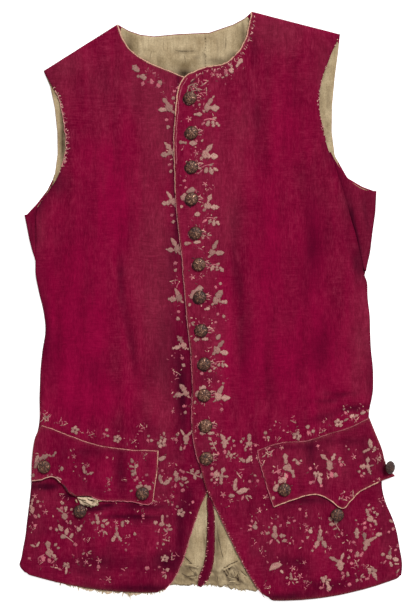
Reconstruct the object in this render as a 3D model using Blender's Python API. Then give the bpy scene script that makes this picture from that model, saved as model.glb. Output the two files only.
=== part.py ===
"""A man's embroidered sleeveless waistcoat of about 1760, buttoned up and laid flat on its back.

The frame is +Z up from the surface it lies on, +Y towards the neck and +X towards the wearer's left.
The origin is the middle of the bounding box's base. Sizes and tables are in millimetres, and the
meshes are made in metres. Every piece of cloth is a thin wall over a grid of rows and columns. The
layers lie on each other with a small gap, from the back on the surface up to the buttons.
"""

from collections import namedtuple
import math

import bmesh
import bpy
import numpy as np

MM = 0.001

# Cloth walls, and the clear space kept between two pieces.
SILK = 1.2
LINEN = 1.0
GAP = 0.35

# Heights of the undersides of the layers above the surface.
LINING_Z = SILK + GAP
STRIP_Z = LINING_Z + LINEN + GAP
FRONT_Z = 4.25

# A free edge of a front rolls down over this breadth.
ROLL = 10.0
# The back comes round each side in a roll whose top is level with the fronts' tops.
SIDE_ROLL = (FRONT_Z + SILK) / 2

# The lapped front rises on to the one below it, and comes down again over this breadth beyond it.
LAP_RISE = SILK + GAP
LAP_SLOPE = 26.0

BUTTON_RADIUS = 8.75
BUTTON_HEIGHT = 5.6
ROW_LENGTH = 24.0
MOST_FOLD = 1.7

Section = namedtuple("Section", "inner_x inner_y outer_x outer_y drop bow")
BackSection = namedtuple("BackSection", "left_x left_y right_x right_y lining_inset")
Fold = namedtuple("Fold", "x0 y0 x1 y1 breadth height")
Button = namedtuple("Button", "x y tilt")

# Rows across the front on the wearer's left, from the shoulder seam down to the hem. The inner end
# runs along the neck, the lapped front edge and the cut-away skirt, and the outer end along the
# armhole, the side seam and the skirt's side. The outer edge comes down by `drop`, and the middle
# of a row hangs lower than its ends by `bow`.
FRONT_LEFT = [
    Section(55, 397, 174, 366, 0.0, 0),
    Section(53, 385, 168, 352, 0.8, 0),
    Section(47, 360, 160, 333, 1.0, 0),
    Section(36, 341, 153, 316, 1.0, 0),
    Section(18, 326, 148, 300, 1.0, 0),
    Section(-8, 321, 146, 284, 1.0, 0),
    Section(-34, 309, 146, 268, 1.0, 0),
    Section(-44, 290, 149, 249, 1.0, 0),
    Section(-48, 255, 154, 228, 1.0, 0),
    Section(-50, 225, 158, 211, 0.5, 0),
    Section(-49, 190, 168, 186, 0.0, 0),
    Section(-48, 150, 180, 148, 0.0, 0),
    Section(-44, 105, 192, 108, 0.0, 0),
    Section(-39, 66, 202, 66, 0.0, 0),
    Section(-37.5, 42, 205.5, 45, 0.0, 0),
    Section(-36.5, 32, 210, 31, 0.6, 0),
    Section(-35, 15, 212, 14, 3.8, 0),
    Section(-32, -20, 215, -20, 3.8, 0),
    Section(-27, -66, 217, -62, 3.8, 0),
    Section(-25, -110, 219.5, -110, 3.8, 0),
    Section(-26, -155, 214, -150, 3.8, 0),
    Section(-22, -190, 225, -180, 3.8, 0),
    Section(-13, -222, 232, -210, 3.8, 0),
    Section(-6, -248, 231, -242, 3.8, 0),
    Section(3, -266, 237, -267, 3.8, 0),
    Section(18, -298, 249, -296, 3.8, 0),
    Section(35, -333, 255, -325, 3.8, 1),
    Section(53, -366, 258.3, -350, 3.0, 4),
    Section(74, -396.8, 256.5, -365, 2.0, 10),
]

# The same for the wearer's right, whose inner end is its button stand, hidden under the other
# front as far down as the cut-away.
FRONT_RIGHT = [
    Section(-126, 380, -226, 317, 0.0, 0),
    Section(-121, 364, -218, 303, 0.8, 0),
    Section(-109, 345, -208, 286, 1.0, 0),
    Section(-90, 331, -202, 267, 1.0, 0),
    Section(-68, 321, -199, 249, 1.0, 0),
    Section(-46, 312, -197, 231, 1.0, 0),
    Section(-26, 304, -195.5, 214, 1.0, 0),
    Section(-13, 292, -199, 196, 1.0, 0),
    Section(-10, 268, -208, 172, 0.7, 0),
    Section(-10, 235, -222, 150, 0.3, 0),
    Section(-10, 200, -234.5, 130, 0.0, 0),
    Section(-10, 160, -236, 100, 0.0, 0),
    Section(-7, 110, -236, 74, 0.0, 0),
    Section(-3, 70, -235.8, 56, 0.0, 0),
    Section(-1, 40, -238, 38, 0.8, 0),
    Section(0, 12, -233, 14, 3.8, 0),
    Section(3, -25, -224, -24, 3.8, 0),
    Section(6, -66, -228, -64, 3.8, 0),
    Section(7, -110, -232, -110, 3.8, 0),
    Section(9, -155, -232, -155, 3.8, 0),
    Section(11, -190, -239, -190, 3.8, 0),
    Section(8, -222, -242.5, -225, 3.8, 0),
    Section(-3, -247, -244, -250, 3.8, 0),
    Section(-14, -270, -247, -276, 3.8, 0),
    Section(-27, -308, -251.5, -312, 3.8, 0),
    Section(-38, -343, -256, -338, 3.8, 1),
    Section(-51, -370, -258.3, -350, 3.0, 4),
    Section(-66, -386, -250, -361, 1.6, 8),
]

# Rows across the part of the back that lies on the surface, from the shoulder tips to the hem. Its
# linen lining stops short of each side by `lining_inset`.
BACK = [
    BackSection(-226, 317, 174, 366, 3.0),
    BackSection(-217, 296, 172, 346, 1.6),
    BackSection(-211, 268, 167, 308, 1.6),
    BackSection(-207.5, 235, 163.5, 270, 1.6),
    BackSection(-207, 205, 163, 235, 1.6),
    BackSection(-211, 176, 167, 203, 2.0),
    BackSection(-221, 156, 184, 173, 3.0),
    BackSection(-235, 138, 204, 161, 5.0),
    BackSection(-249, 123, 220.5, 152, 8.0),
    BackSection(-246, 108, 219, 126, 9.0),
    BackSection(-242.5, 90, 215, 98, 9.0),
    BackSection(-238.5, 74, 212, 72, 9.0),
    BackSection(-236, 60, 208.5, 47, 9.0),
    BackSection(-227, 36, 203, 22, 9.0),
    BackSection(-222, 5, 205, -5, 8.0),
    BackSection(-218, -35, 208, -40, 8.0),
    BackSection(-223, -90, 211, -90, 8.0),
    BackSection(-224, -140, 206, -140, 8.0),
    BackSection(-231, -190, 216, -190, 8.0),
    BackSection(-236, -245, 222, -245, 8.0),
    BackSection(-241, -300, 240, -300, 8.0),
    BackSection(-242, -347, 247, -347, 8.0),
    BackSection(-238, -352, 246, -361, 8.0),
]
BACK_TOP = [
    (-226, 317), (-176, 348.5), (-126, 380), (-111, 371.5), (-95, 366), (-77, 364), (-45, 367),
    (-2, 369), (30, 380), (45, 388), (55, 397), (114, 382), (174, 366),
]
BACK_HEM = [
    (-238, -352), (-182, -364), (-110, -372), (-54, -373), (0, -373), (60, -378), (120, -386),
    (180, -380), (246, -361),
]
LINING_HEM = [
    (-230, -350), (-182, -360), (-110, -366), (-60, -376), (-9, -376), (18, -378.5), (46, -384),
    (62, -383), (120, -379), (180, -372), (238, -354),
]

# The lining's upper edge stops short of the silk's by these.
NECK_INSET = 1.2
SHOULDER_INSET = 9.0

# The back's rolled sides: the rows of BACK where each starts and ends, and the seam that the
# brought-round cloth meets the front along. Its armhole edge is hollowed by `hollow`.
SideWrap = namedtuple("SideWrap", "first_row last_row hollow seam")
RIGHT_WRAP = SideWrap(8, 12, 2, [(-237.5, 133.5), (-237.6, 115), (-237.2, 96), (-236.6, 77), (-236.4, 62)])
LEFT_WRAP = SideWrap(8, 12, 12, [(161, 207), (171, 178), (185, 134), (197, 93), (206.4, 49)])

# The largest soft folds of the upper layers: ridges between two ends, with a rounded section.
FOLDS = [
    Fold(-108, 70, -86, -84, 13, 1.6),
    Fold(-142, 62, -118, -80, 15, 1.2),
    Fold(22, 60, 31, -110, 11, 0.9),
    Fold(56, 50, 60, -100, 15, 1.4),
    Fold(120, 150, 124, 50, 14, 1.3),
    Fold(150, -95, 205, -128, 12, 1.6),
    Fold(128, -120, 190, -152, 12, 1.2),
    Fold(-186, 90, -214, -40, 14, 1.2),
    Fold(-150, -300, -70, -308, 13, 1.3),
    Fold(120, -300, 160, -375, 15, 1.2),
    Fold(205, -290, 232, -350, 13, 1.3),
    Fold(-205, -290, -190, -345, 14, 1.2),
]

FLAP_RIGHT_TOP = [(-228, -160), (-212, -165), (-184, -176), (-155, -186), (-131, -190), (-105, -193), (-71, -194)]
FLAP_RIGHT_BOTTOM = [
    (-242, -236), (-229, -234), (-213, -230), (-200, -240), (-186, -255), (-164, -256), (-147, -262),
    (-117, -263), (-100, -265), (-86, -268), (-78, -264),
]
FLAP_RIGHT_OUTER = [(-228, -160), (-237, -178), (-241, -205), (-242, -236)]
FLAP_RIGHT_INNER = [(-71, -194), (-72, -220), (-76, -247), (-78, -264)]
TORN_PATCH_TOP = [(-180, -257.2), (-164, -257.6), (-152, -261.6)]
TORN_PATCH_BOTTOM = [(-176, -266), (-163, -270), (-152, -268)]

FLAP_LEFT_TOP = [(62, -194), (91, -184), (113, -182), (132, -180), (160, -171), (186, -163), (213, -150)]
FLAP_LEFT_BOTTOM = [
    (84, -271), (105, -263), (136, -254), (156, -259), (176, -273), (188, -263), (201, -250),
    (229, -236), (248, -229),
]
FLAP_LEFT_INNER = [(62, -194), (65, -209), (74, -240), (84, -271)]
FLAP_LEFT_OUTER = [(213, -150), (221, -170), (230, -192), (236, -214), (248, -229)]

HEM_STRIP_TOP = [(-212, -352), (-180, -361), (-140, -368), (-100, -372), (-64, -374)]
HEM_STRIP_BOTTOM = [(-206, -376), (-166, -387), (-128, -389), (-96, -392.5), (-60, -383)]

# The facing down the middle of the back skirt: its middle line, breadth and crown.
FacingSection = namedtuple("FacingSection", "x y breadth crown")
FACING = [
    FacingSection(2, -236, 8, 0.0),
    FacingSection(-1, -262, 9, 0.3),
    FacingSection(0, -284, 10, 1.8),
    FacingSection(0, -304, 11, 2.2),
    FacingSection(-1, -330, 12, 2.2),
    FacingSection(-4, -350, 13, 2.0),
    FacingSection(-10, -366, 14, 1.5),
    FacingSection(-15, -378, 10, 0.8),
]

# Twelve buttons down the front, each standing up through its buttonhole, and three to each flap.
FRONT_BUTTONS = [
    Button(-28, 280, 0), Button(-26, 233, 0), Button(-26, 187, 0), Button(-26, 144, 0),
    Button(-21, 98, 0), Button(-16, 56, 0), Button(-15, 12, 0), Button(-13, -33, 0),
    Button(-9, -78, 0), Button(-9, -120, 0), Button(-7, -161, 0), Button(-6, -205, 0),
]
FLAP_RIGHT_BUTTONS = [Button(-224, -216, -8), Button(-176, -276, 0), Button(-92, -252, 0)]
FLAP_LEFT_BUTTONS = [Button(99, -247, 0), Button(170, -281, 0), Button(239, -217, 48)]

COLUMNS_ACROSS = [0.0, 0.08, 0.16, 0.24, 0.34, 0.46, 0.58, 0.70, 0.81, 0.91, 1.0]
ROLL_COLUMNS = [1.0, 0.5, 0.15, 0.0]


def smooth(t):
    """Rises from 0 to 1 with level ends, held outside that range."""
    t = np.clip(t, 0, 1)
    return t * t * (3 - 2 * t)


def curve_through(points, at):
    """A smooth curve through every row of `points`, read where `at` counts rows (Catmull-Rom)."""
    p = np.asarray(points, float)
    padded = np.vstack([2 * p[0] - p[1], p, 2 * p[-1] - p[-2]])
    at = np.asarray(at, float)
    i = np.clip(at.astype(int), 0, len(p) - 2)
    t = (at - i)[:, None]
    a, b, c, d = (padded[i + k] for k in range(4))
    return 0.5 * (2 * b + (c - a) * t + (2 * a - 5 * b + 4 * c - d) * t**2 + (3 * b - a - 3 * c + d) * t**3)


def even_curve(points, count):
    """`count` points spaced evenly along the smooth curve through `points`."""
    fine = curve_through(points, np.linspace(0, len(points) - 1, 20 * len(points)))
    run = np.concatenate([[0], np.cumsum(np.hypot(*np.diff(fine, axis=0).T))])
    want = np.linspace(0, run[-1], count)
    return np.column_stack([np.interp(want, run, fine[:, k]) for k in range(2)])


def stations(points, longest=ROW_LENGTH):
    """Where to read a table so that no two neighbouring rows lie further apart than `longest`."""
    p = np.asarray(points, float)
    spans = np.hypot(*np.diff(p[:, :2], axis=0).T)
    steps = [np.linspace(i, i + 1, max(1, math.ceil(s / longest)), endpoint=False) for i, s in enumerate(spans)]
    return np.concatenate([*steps, [len(p) - 1]])


def distance_to_line(x, y, start, end):
    """Distance in plan from each point to the segment between two ends, and how far along it."""
    dx, dy = end[0] - start[0], end[1] - start[1]
    t = np.clip(((x - start[0]) * dx + (y - start[1]) * dy) / (dx * dx + dy * dy), 0, 1)
    return np.hypot(x - start[0] - t * dx, y - start[1] - t * dy), t


def folds_height(x, y):
    """The rise of the upper layers over the large folds, which fade towards their ends."""
    rise = np.zeros(np.shape(x))
    for fold in FOLDS:
        away, along = distance_to_line(x, y, (fold.x0, fold.y0), (fold.x1, fold.y1))
        rise = rise + fold.height * np.exp(-((away / fold.breadth) ** 2)) * (0.4 + 0.6 * np.sin(math.pi * along))
    return np.minimum(rise, MOST_FOLD)


def quarter_roll(distance, breadth=ROLL):
    """How far an edge has come down, from 0 in the panel to 1 at the edge itself, as a quarter round."""
    s = np.clip(1 - distance / breadth, 0, 1)
    return 1 - np.sqrt(1 - s * s)


def shoulder_drop(x, y, table):
    """The front comes down at its shoulder seam until it rests just clear of the back."""
    seam = table[0]
    away, _ = distance_to_line(x, y, (seam.inner_x, seam.inner_y), (seam.outer_x, seam.outer_y))
    return (FRONT_Z - SILK - GAP) * quarter_roll(away)


def button_stand_x(y):
    """The hidden edge of the wearer's right front at a height, which the other front laps over."""
    rows = np.array([(s.inner_y, s.inner_x) for s in FRONT_RIGHT])[::-1]
    return np.interp(y, rows[:, 0], rows[:, 1])


def lap_rise(x, y):
    """The lift of the lapping front over the one below, sloping off beyond that one's edge."""
    beyond = x - button_stand_x(y) - 2
    return LAP_RISE * (1 - smooth(beyond / LAP_SLOPE)) * smooth((y + 262) / 10)


def upper_height(x, y):
    """The top of the lapped front where the buttons and the flaps lie on it."""
    return FRONT_Z + SILK + folds_height(x, y) + lap_rise(x, y)


def front_grid(table, lapping):
    """The underside of a front: straight rows between its two edges, with the outer edge rolled."""
    numbers = np.array(table, float)
    at = np.unique(np.concatenate([stations(numbers), stations(numbers[:, 2:4])]).round(2))
    rows = curve_through(numbers, at)
    inner, outer = rows[:, None, 0:2], rows[:, None, 2:4]
    drop, bow = np.clip(rows[:, None, 4], 0, 4), rows[:, None, 5]
    breadth = np.hypot(*(outer - inner)[:, 0].T)[:, None]
    # A rolled edge's wall stands out past its underside, so that the underside stops short by it.
    inward = (inner - outer) / breadth[:, :, None]
    outer = outer + inward * (SILK * 1.3 * smooth(drop / 3))[:, :, None]
    breadth = np.hypot(*(outer - inner)[:, 0].T)[:, None]
    flat = np.array(COLUMNS_ACROSS)[None] * (breadth - ROLL)
    rolled = breadth - ROLL * np.array(ROLL_COLUMNS)[None, 1:]
    along = np.hstack([flat, rolled])
    share = along / breadth
    points = inner + (outer - inner) * share[:, :, None]
    x, y = points[..., 0], points[..., 1] - bow * 4 * share * (1 - share)
    from_edge = breadth - along
    z = FRONT_Z + folds_height(x, y) * smooth(from_edge / 12) - drop * quarter_roll(from_edge)
    z = z - shoulder_drop(x, y, table)
    if lapping:
        z = z + lap_rise(x, y)
    return np.stack([x, y, z], axis=-1)


def patch_grid(top, bottom, left, right, height):
    """A Coons patch in plan: blends two rows of points and two columns of points into a grid."""
    v = np.linspace(0, 1, len(left))[:, None, None]
    run = np.concatenate([[0], np.cumsum(np.hypot(*np.diff(top, axis=0).T))])
    u = (run / run[-1])[None, :, None]
    sides = (1 - u) * left[:, None] + u * right[:, None]
    ends = (1 - v) * top[None] + v * bottom[None]
    corners = (1 - u) * ((1 - v) * top[0] + v * bottom[0]) + u * ((1 - v) * top[-1] + v * bottom[-1])
    plan = sides + ends - corners
    z = height(plan[..., 0], plan[..., 1])
    return np.dstack([plan, z])


def flat_at(level):
    """A height function for a layer that lies level."""
    return lambda x, y: np.full(np.shape(x), float(level))


def on_fronts(x, y):
    """A height function for what lies on a front."""
    return upper_height(x, y) + GAP


def cloth(name, grids, wall, material):
    """One piece of cloth: grids of points, sewn where they share points, given a wall above them."""
    mesh = bmesh.new()
    for grid in grids:
        rows, columns = grid.shape[:2]
        made = [mesh.verts.new(point * MM) for point in grid.reshape(-1, 3)]
        for i in range(rows - 1):
            for j in range(columns - 1):
                k = i * columns + j
                mesh.faces.new([made[k], made[k + columns], made[k + columns + 1], made[k + 1]])
    bmesh.ops.remove_doubles(mesh, verts=mesh.verts, dist=0.00005)
    bmesh.ops.recalc_face_normals(mesh, faces=mesh.faces)
    # The grids are the pieces' outer undersides, so the lowest face looks down and the wall is above.
    if min(mesh.faces, key=lambda face: face.calc_center_median().z).normal.z > 0:
        bmesh.ops.reverse_faces(mesh, faces=mesh.faces)
    data = bpy.data.meshes.new(name)
    mesh.to_mesh(data)
    mesh.free()
    data.shade_smooth()
    item = add_object(name, data, material)
    solid = item.modifiers.new("wall", "SOLIDIFY")
    solid.thickness = wall * MM
    solid.offset = -1
    solid.use_even_offset = True


def add_object(name, data, material):
    """A named object under the garment's empty."""
    if not data.materials:
        data.materials.append(material)
    item = bpy.data.objects.new(name, data)
    bpy.context.scene.collection.objects.link(item)
    item.parent = garment
    return item


def wrap_grid(edge, wrap, side):
    """The back's cloth from its edge on the surface, round the side and over the top to the seam."""
    fold = edge[wrap.first_row : wrap.last_row + 1]
    seam = even_curve(wrap.seam, len(fold))
    angles = np.radians([0, 40, 80, 120, 155, 180])
    out = fold[:, None, 0] + side * SIDE_ROLL * np.sin(angles)[None]
    up = np.broadcast_to(SIDE_ROLL * (1 - np.cos(angles)), out.shape)
    lengthways = np.broadcast_to(fold[:, None, 1], out.shape)
    roll = np.dstack([out, lengthways, up])
    share = np.array([0.2, 0.4, 0.6, 0.8, 1.0])[None, :, None]
    over = fold[:, None] + (seam - fold)[:, None] * share
    hollow = wrap.hollow * np.linspace(1, 0, len(fold))[:, None] ** 2
    over[..., 1] -= hollow * 4 * share[..., 0] * (1 - share[..., 0])
    level = np.full(over.shape[:2], 2 * SIDE_ROLL)
    return np.concatenate([roll, np.dstack([over, level])], axis=1)


def back_edges():
    """The two edges of the back that lie on the surface, one point a row of BACK."""
    numbers = np.array(BACK, float)
    return numbers[:, 0:2], numbers[:, 2:4], numbers[:, 4]


def make_back():
    """The silk back, with its sides brought round to the top under the armholes."""
    left, right, _ = back_edges()
    top = np.array(BACK_TOP, float)
    grid = patch_grid(top, even_curve(BACK_HEM, len(top)), left, right, flat_at(0))
    wraps = [wrap_grid(left, RIGHT_WRAP, -1), wrap_grid(right, LEFT_WRAP, 1)]
    return cloth("back", [grid, *wraps], SILK, silk)


def make_back_lining():
    """The linen lining of the back, moved out from the silk's own edges."""
    left, right, inset = back_edges()
    left = left + np.column_stack([inset, np.zeros(len(inset))])
    right = right - np.column_stack([inset, np.zeros(len(inset))])
    top = np.array(BACK_TOP, float)
    neck = (top[:, 0] > -122) & (top[:, 0] < 50)
    top[:, 1] -= np.where(neck, NECK_INSET, SHOULDER_INSET)
    top[:, 0] = np.clip(top[:, 0], -221, 170)
    hem = even_curve(LINING_HEM, len(top))
    left[[0, -1]], right[[0, -1]] = (top[0], hem[0]), (top[-1], hem[-1])
    grid = patch_grid(top, hem, left, right, flat_at(LINING_Z))
    return cloth("back_lining", [grid], LINEN, linen)


def make_strip(name, top, bottom, height, wall, material, columns=9, rows=3):
    """A piece between an upper and a lower edge, with straight ends."""
    upper, lower = even_curve(top, columns), even_curve(bottom, columns)
    v = np.linspace(0, 1, rows)[:, None]
    left, right = (1 - v) * upper[0] + v * lower[0], (1 - v) * upper[-1] + v * lower[-1]
    return cloth(name, [patch_grid(upper, lower, left, right, height)], wall, material)


def make_flap(name, top, bottom, left, right):
    """A pocket flap on the front: its four edges, and the front's own height below it."""
    columns, rows = 17, 6
    upper, lower = even_curve(top, columns), even_curve(bottom, columns)
    sides = even_curve(left, rows), even_curve(right, rows)
    return cloth(name, [patch_grid(upper, lower, *sides, on_fronts)], SILK, silk)


def make_facing():
    """The rolled facing on the back lining: a low arch along its middle line."""
    rows = curve_through(FACING, stations(FACING, 14))
    middle, breadth, crown = rows[:, 0:2], rows[:, 2], rows[:, 3]
    way = np.gradient(middle, axis=0)
    across = np.column_stack([way[:, 1], -way[:, 0]]) / np.hypot(*way.T)[:, None]
    u = np.linspace(-1, 1, 6)[None]
    plan = middle[:, None] - across[:, None] * (breadth[:, None] * u / 2)[:, :, None]
    z = STRIP_Z + np.clip(crown, 0, 3)[:, None] * np.sqrt(1 - (0.98 * u) ** 2)
    return cloth("vent_facing", [np.dstack([plan, z])], 0.8, silk)


def button_mesh():
    """One button turned about Z: a flat foot, a rounded rim and a low dome."""
    profile = [
        (0.0, 0.0), (0.35, 0.0), (0.42, 0.26), (0.94, 0.30), (1.0, 0.46), (0.90, 0.70), (0.55, 0.93),
        (0.0, 1.0),
    ]
    mesh = bmesh.new()
    verts = [mesh.verts.new((r * BUTTON_RADIUS * MM, 0, h * BUTTON_HEIGHT * MM)) for r, h in profile]
    edges = [mesh.edges.new(pair) for pair in zip(verts, verts[1:])]
    bmesh.ops.spin(
        mesh, geom=verts + edges, cent=(0, 0, 0), axis=(0, 0, 1), angle=2 * math.pi, steps=12, use_duplicate=False
    )
    bmesh.ops.remove_doubles(mesh, verts=mesh.verts, dist=0.00001)
    bmesh.ops.recalc_face_normals(mesh, faces=mesh.faces)
    data = bpy.data.meshes.new("button")
    mesh.to_mesh(data)
    mesh.free()
    data.shade_smooth()
    return data


def place_buttons(prefix, buttons, data, base):
    """Buttons one after another, each standing on the cloth below it."""
    for number, button in enumerate(buttons, 1):
        item = add_object(prefix.format(number), data, metal_thread)
        around = BUTTON_RADIUS * np.array([-1, 0, 1])
        x, y = np.meshgrid(button.x + around, button.y + around)
        rise = float(upper_height(x, y).max()) + base
        tilt = math.radians(button.tilt)
        item.rotation_euler = (0, tilt, 0)
        lift = BUTTON_RADIUS * 0.35 * abs(math.sin(tilt))
        item.location = (button.x * MM, button.y * MM, (rise + lift) * MM)


def material_of(name, colour, roughness, metallic=0.0):
    """A plain Principled material."""
    made = bpy.data.materials.new(name)
    made.use_nodes = True
    shader = made.node_tree.nodes["Principled BSDF"]
    shader.inputs["Base Color"].default_value = (*colour, 1)
    shader.inputs["Roughness"].default_value = roughness
    shader.inputs["Metallic"].default_value = metallic
    return made


for old in list(bpy.data.objects):
    bpy.data.objects.remove(old)

garment = bpy.data.objects.new("garment", None)
bpy.context.scene.collection.objects.link(garment)
silk = material_of("crimson_silk", (0.17, 0.005, 0.03), 0.55)
linen = material_of("cream_linen", (0.48, 0.41, 0.29), 0.9)
metal_thread = material_of("metal_thread", (0.12, 0.09, 0.06), 0.5, 0.5)

make_back()
make_back_lining()
cloth("front_right", [front_grid(FRONT_RIGHT, False)], SILK, silk)
cloth("front_left", [front_grid(FRONT_LEFT, True)], SILK, silk)
make_strip("front_right_lining", HEM_STRIP_TOP, HEM_STRIP_BOTTOM, flat_at(STRIP_Z), LINEN, linen)
make_facing()
make_flap("flap_right", FLAP_RIGHT_TOP, FLAP_RIGHT_BOTTOM, FLAP_RIGHT_OUTER, FLAP_RIGHT_INNER)
make_flap("flap_left", FLAP_LEFT_TOP, FLAP_LEFT_BOTTOM, FLAP_LEFT_INNER, FLAP_LEFT_OUTER)
make_strip("flap_right_lining", TORN_PATCH_TOP, TORN_PATCH_BOTTOM, on_fronts, LINEN, linen, columns=5, rows=2)

button = button_mesh()
place_buttons("button_{:02d}", FRONT_BUTTONS, button, GAP)
place_buttons("flap_right_button_{}", FLAP_RIGHT_BUTTONS, button, SILK + 2 * GAP)
place_buttons("flap_left_button_{}", FLAP_LEFT_BUTTONS, button, SILK + 2 * GAP)
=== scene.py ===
# An embroidered silk waistcoat of about 1760, buttoned up and laid flat on its back.
# Tables are in millimetres: x towards the wearer's left, y towards the neck, z up from the surface.

import math

import bmesh
import bpy
import numpy as np
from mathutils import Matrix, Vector


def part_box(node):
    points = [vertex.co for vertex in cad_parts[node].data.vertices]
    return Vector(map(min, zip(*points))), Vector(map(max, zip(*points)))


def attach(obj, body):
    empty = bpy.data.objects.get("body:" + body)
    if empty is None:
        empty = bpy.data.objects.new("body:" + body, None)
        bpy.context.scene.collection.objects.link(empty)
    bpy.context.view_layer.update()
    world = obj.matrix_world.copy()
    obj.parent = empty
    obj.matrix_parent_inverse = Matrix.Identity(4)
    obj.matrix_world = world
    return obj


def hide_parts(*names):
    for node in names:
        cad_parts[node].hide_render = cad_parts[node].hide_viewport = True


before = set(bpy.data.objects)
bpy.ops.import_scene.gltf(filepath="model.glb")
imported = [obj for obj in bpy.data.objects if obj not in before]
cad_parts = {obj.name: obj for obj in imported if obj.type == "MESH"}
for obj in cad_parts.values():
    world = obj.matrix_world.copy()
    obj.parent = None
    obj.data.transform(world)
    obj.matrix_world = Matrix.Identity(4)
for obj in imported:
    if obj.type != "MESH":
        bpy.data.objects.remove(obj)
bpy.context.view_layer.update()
print("frame loaded:", len(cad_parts), "nodes")

mm = 0.001
rng = np.random.default_rng(1760)


# Curves and heights, worked out on whole arrays.

def smooth(t):
    # rises from 0 to 1 with level ends
    t = np.clip(t, 0, 1)
    return t * t * (3 - 2 * t)


def curveThrough(points, at):
    # a cubic through every row of points, each span shaped by its four nearest rows (Catmull-Rom)
    p = np.asarray(points, float)
    padded = np.vstack([2 * p[0] - p[1], p, 2 * p[-1] - p[-2]])
    at = np.asarray(at, float)
    i = np.clip(at.astype(int), 0, len(p) - 2)
    t = (at - i)[:, None]
    a, b, c, d = (padded[i + k] for k in range(4))
    return 0.5 * (2 * b + (c - a) * t + (2 * a - 5 * b + 4 * c - d) * t**2 + (3 * b - a - 3 * c + d) * t**3)


def runAlong(points):
    # the distance along a line of points, from 0 at the first
    return np.concatenate([[0], np.cumsum(np.hypot(*np.diff(points[:, :2], axis=0).T))])


def evenCurve(points, count):
    # count points, equally far apart along the curve through a few given ones
    fine = curveThrough(points, np.linspace(0, len(points) - 1, 30 * len(points)))
    want = np.linspace(0, 1, count) * runAlong(fine)[-1]
    return np.column_stack([np.interp(want, runAlong(fine), column) for column in fine.T])


def lineDistance(x, y, x0, y0, x1, y1, bow=0.0):
    # signed distance from a line whose middle is bowed sideways, and the share of the way along it
    dx, dy = x1 - x0, y1 - y0
    length = math.hypot(dx, dy)
    share = ((x - x0) * dx + (y - y0) * dy) / length**2
    inside = np.clip(share, 0, 1)
    side = ((x - x0) * dy - (y - y0) * dx) / length - bow * 4 * inside * (1 - inside)
    return side, (share - inside) * length, inside


def creaseHeight(x, y, rows):
    # each row is a rounded ridge, or a trough if its height is negative: a bell curve across its line,
    # leaning to one side, that fades towards both ends as a sine
    rise = np.zeros(np.shape(x))
    for x0, y0, x1, y1, bow, breadth, height, lean in rows:
        side, beyond, share = lineDistance(x, y, x0, y0, x1, y1, bow)
        bell = np.exp(-(side**2 + beyond**2) / breadth**2) * (1 + lean * np.tanh(side / breadth))
        rise = rise + height * bell * (0.25 + 0.75 * np.sin(math.pi * share))
    return rise


def patches(x, y, rows):
    # soft oval spots, each a bell curve in x and y, added up and held at 1
    total = np.zeros(np.shape(x))
    for x0, y0, halfWidth, halfLength, amount in rows:
        total = total + amount * np.exp(-((x - x0) / halfWidth) ** 2 - ((y - y0) / halfLength) ** 2)
    return np.clip(total, 0, 1)


def ripples(x, y, seed, size, stretch=1.0):
    # a sum of sine waves of random heading and phase, about `size` from crest to crest, drawn out in y
    pick = np.random.default_rng(seed)
    waves = 22
    turns, phases = pick.uniform(0, math.pi, waves), pick.uniform(0, 6.28, waves)
    scales = pick.uniform(0.6, 1.7, waves)
    total = np.zeros(np.shape(x))
    for turn, phase, scale in zip(turns, phases, scales):
        k = 2 * math.pi / (size * scale)
        total = total + np.sin(k * (x * math.cos(turn) + y * math.sin(turn) / stretch) + phase)
    return total / math.sqrt(waves)


def quarterRoll(distance, breadth):
    # how far an edge has come down: 0 in the panel, 1 at the edge, as a quarter circle
    s = np.clip(1 - distance / breadth, 0, 1)
    return 1 - np.sqrt(1 - s * s)


def coonsGrid(top, bottom, left, right):
    # a surface between four edges: the blend of two opposite pairs, less the blend of the corners
    v = np.linspace(0, 1, len(left))[:, None, None]
    run = runAlong(top)
    u = (run / run[-1])[None, :, None]
    sides = (1 - u) * left[:, None] + u * right[:, None]
    ends = (1 - v) * top[None] + v * bottom[None]
    corners = (1 - u) * ((1 - v) * top[0] + v * bottom[0]) + u * ((1 - v) * top[-1] + v * bottom[-1])
    return sides + ends - corners


def surfaceOver(points, cell=1.3, reach=24):
    # the height of a dense grid of points: means in square cells, spread out to empty neighbours,
    # and read by straight blending between four cells
    x, y, z = (points[..., k].ravel() for k in range(3))
    x0, y0 = x.min() - 30, y.min() - 30
    shape = (int((x.max() + 30 - x0) / cell) + 2, int((y.max() + 30 - y0) / cell) + 2)
    i, j = ((x - x0) / cell).round().astype(int), ((y - y0) / cell).round().astype(int)
    total, count = np.zeros(shape), np.zeros(shape)
    np.add.at(total, (i, j), z)
    np.add.at(count, (i, j), 1)
    height, known = total / np.maximum(count, 1), count > 0
    inside = known.copy()
    for _ in range(reach):
        near = [(np.roll(height * known, move, axis), np.roll(known, move, axis))
                for move in (1, -1) for axis in (0, 1)]
        around = sum(k.astype(float) for h, k in near)
        mean = sum(h for h, k in near) / np.maximum(around, 1)
        height = np.where(known, height, mean)
        known = known | (around > 0)

    def read(x, y):
        u, v = (x - x0) / cell, (y - y0) / cell
        i = np.clip(u.astype(int), 0, shape[0] - 2)
        j = np.clip(v.astype(int), 0, shape[1] - 2)
        a, b = np.clip(u - i, 0, 1), np.clip(v - j, 0, 1)
        low = height[i, j] * (1 - a) + height[i + 1, j] * a
        high = height[i, j + 1] * (1 - a) + height[i + 1, j + 1] * a
        return low * (1 - b) + high * b

    def covers(x, y):
        i = np.clip(((x - x0) / cell).round().astype(int), 0, shape[0] - 1)
        j = np.clip(((y - y0) / cell).round().astype(int), 0, shape[1] - 1)
        return inside[i, j]

    return read, covers


# Meshes.

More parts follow.
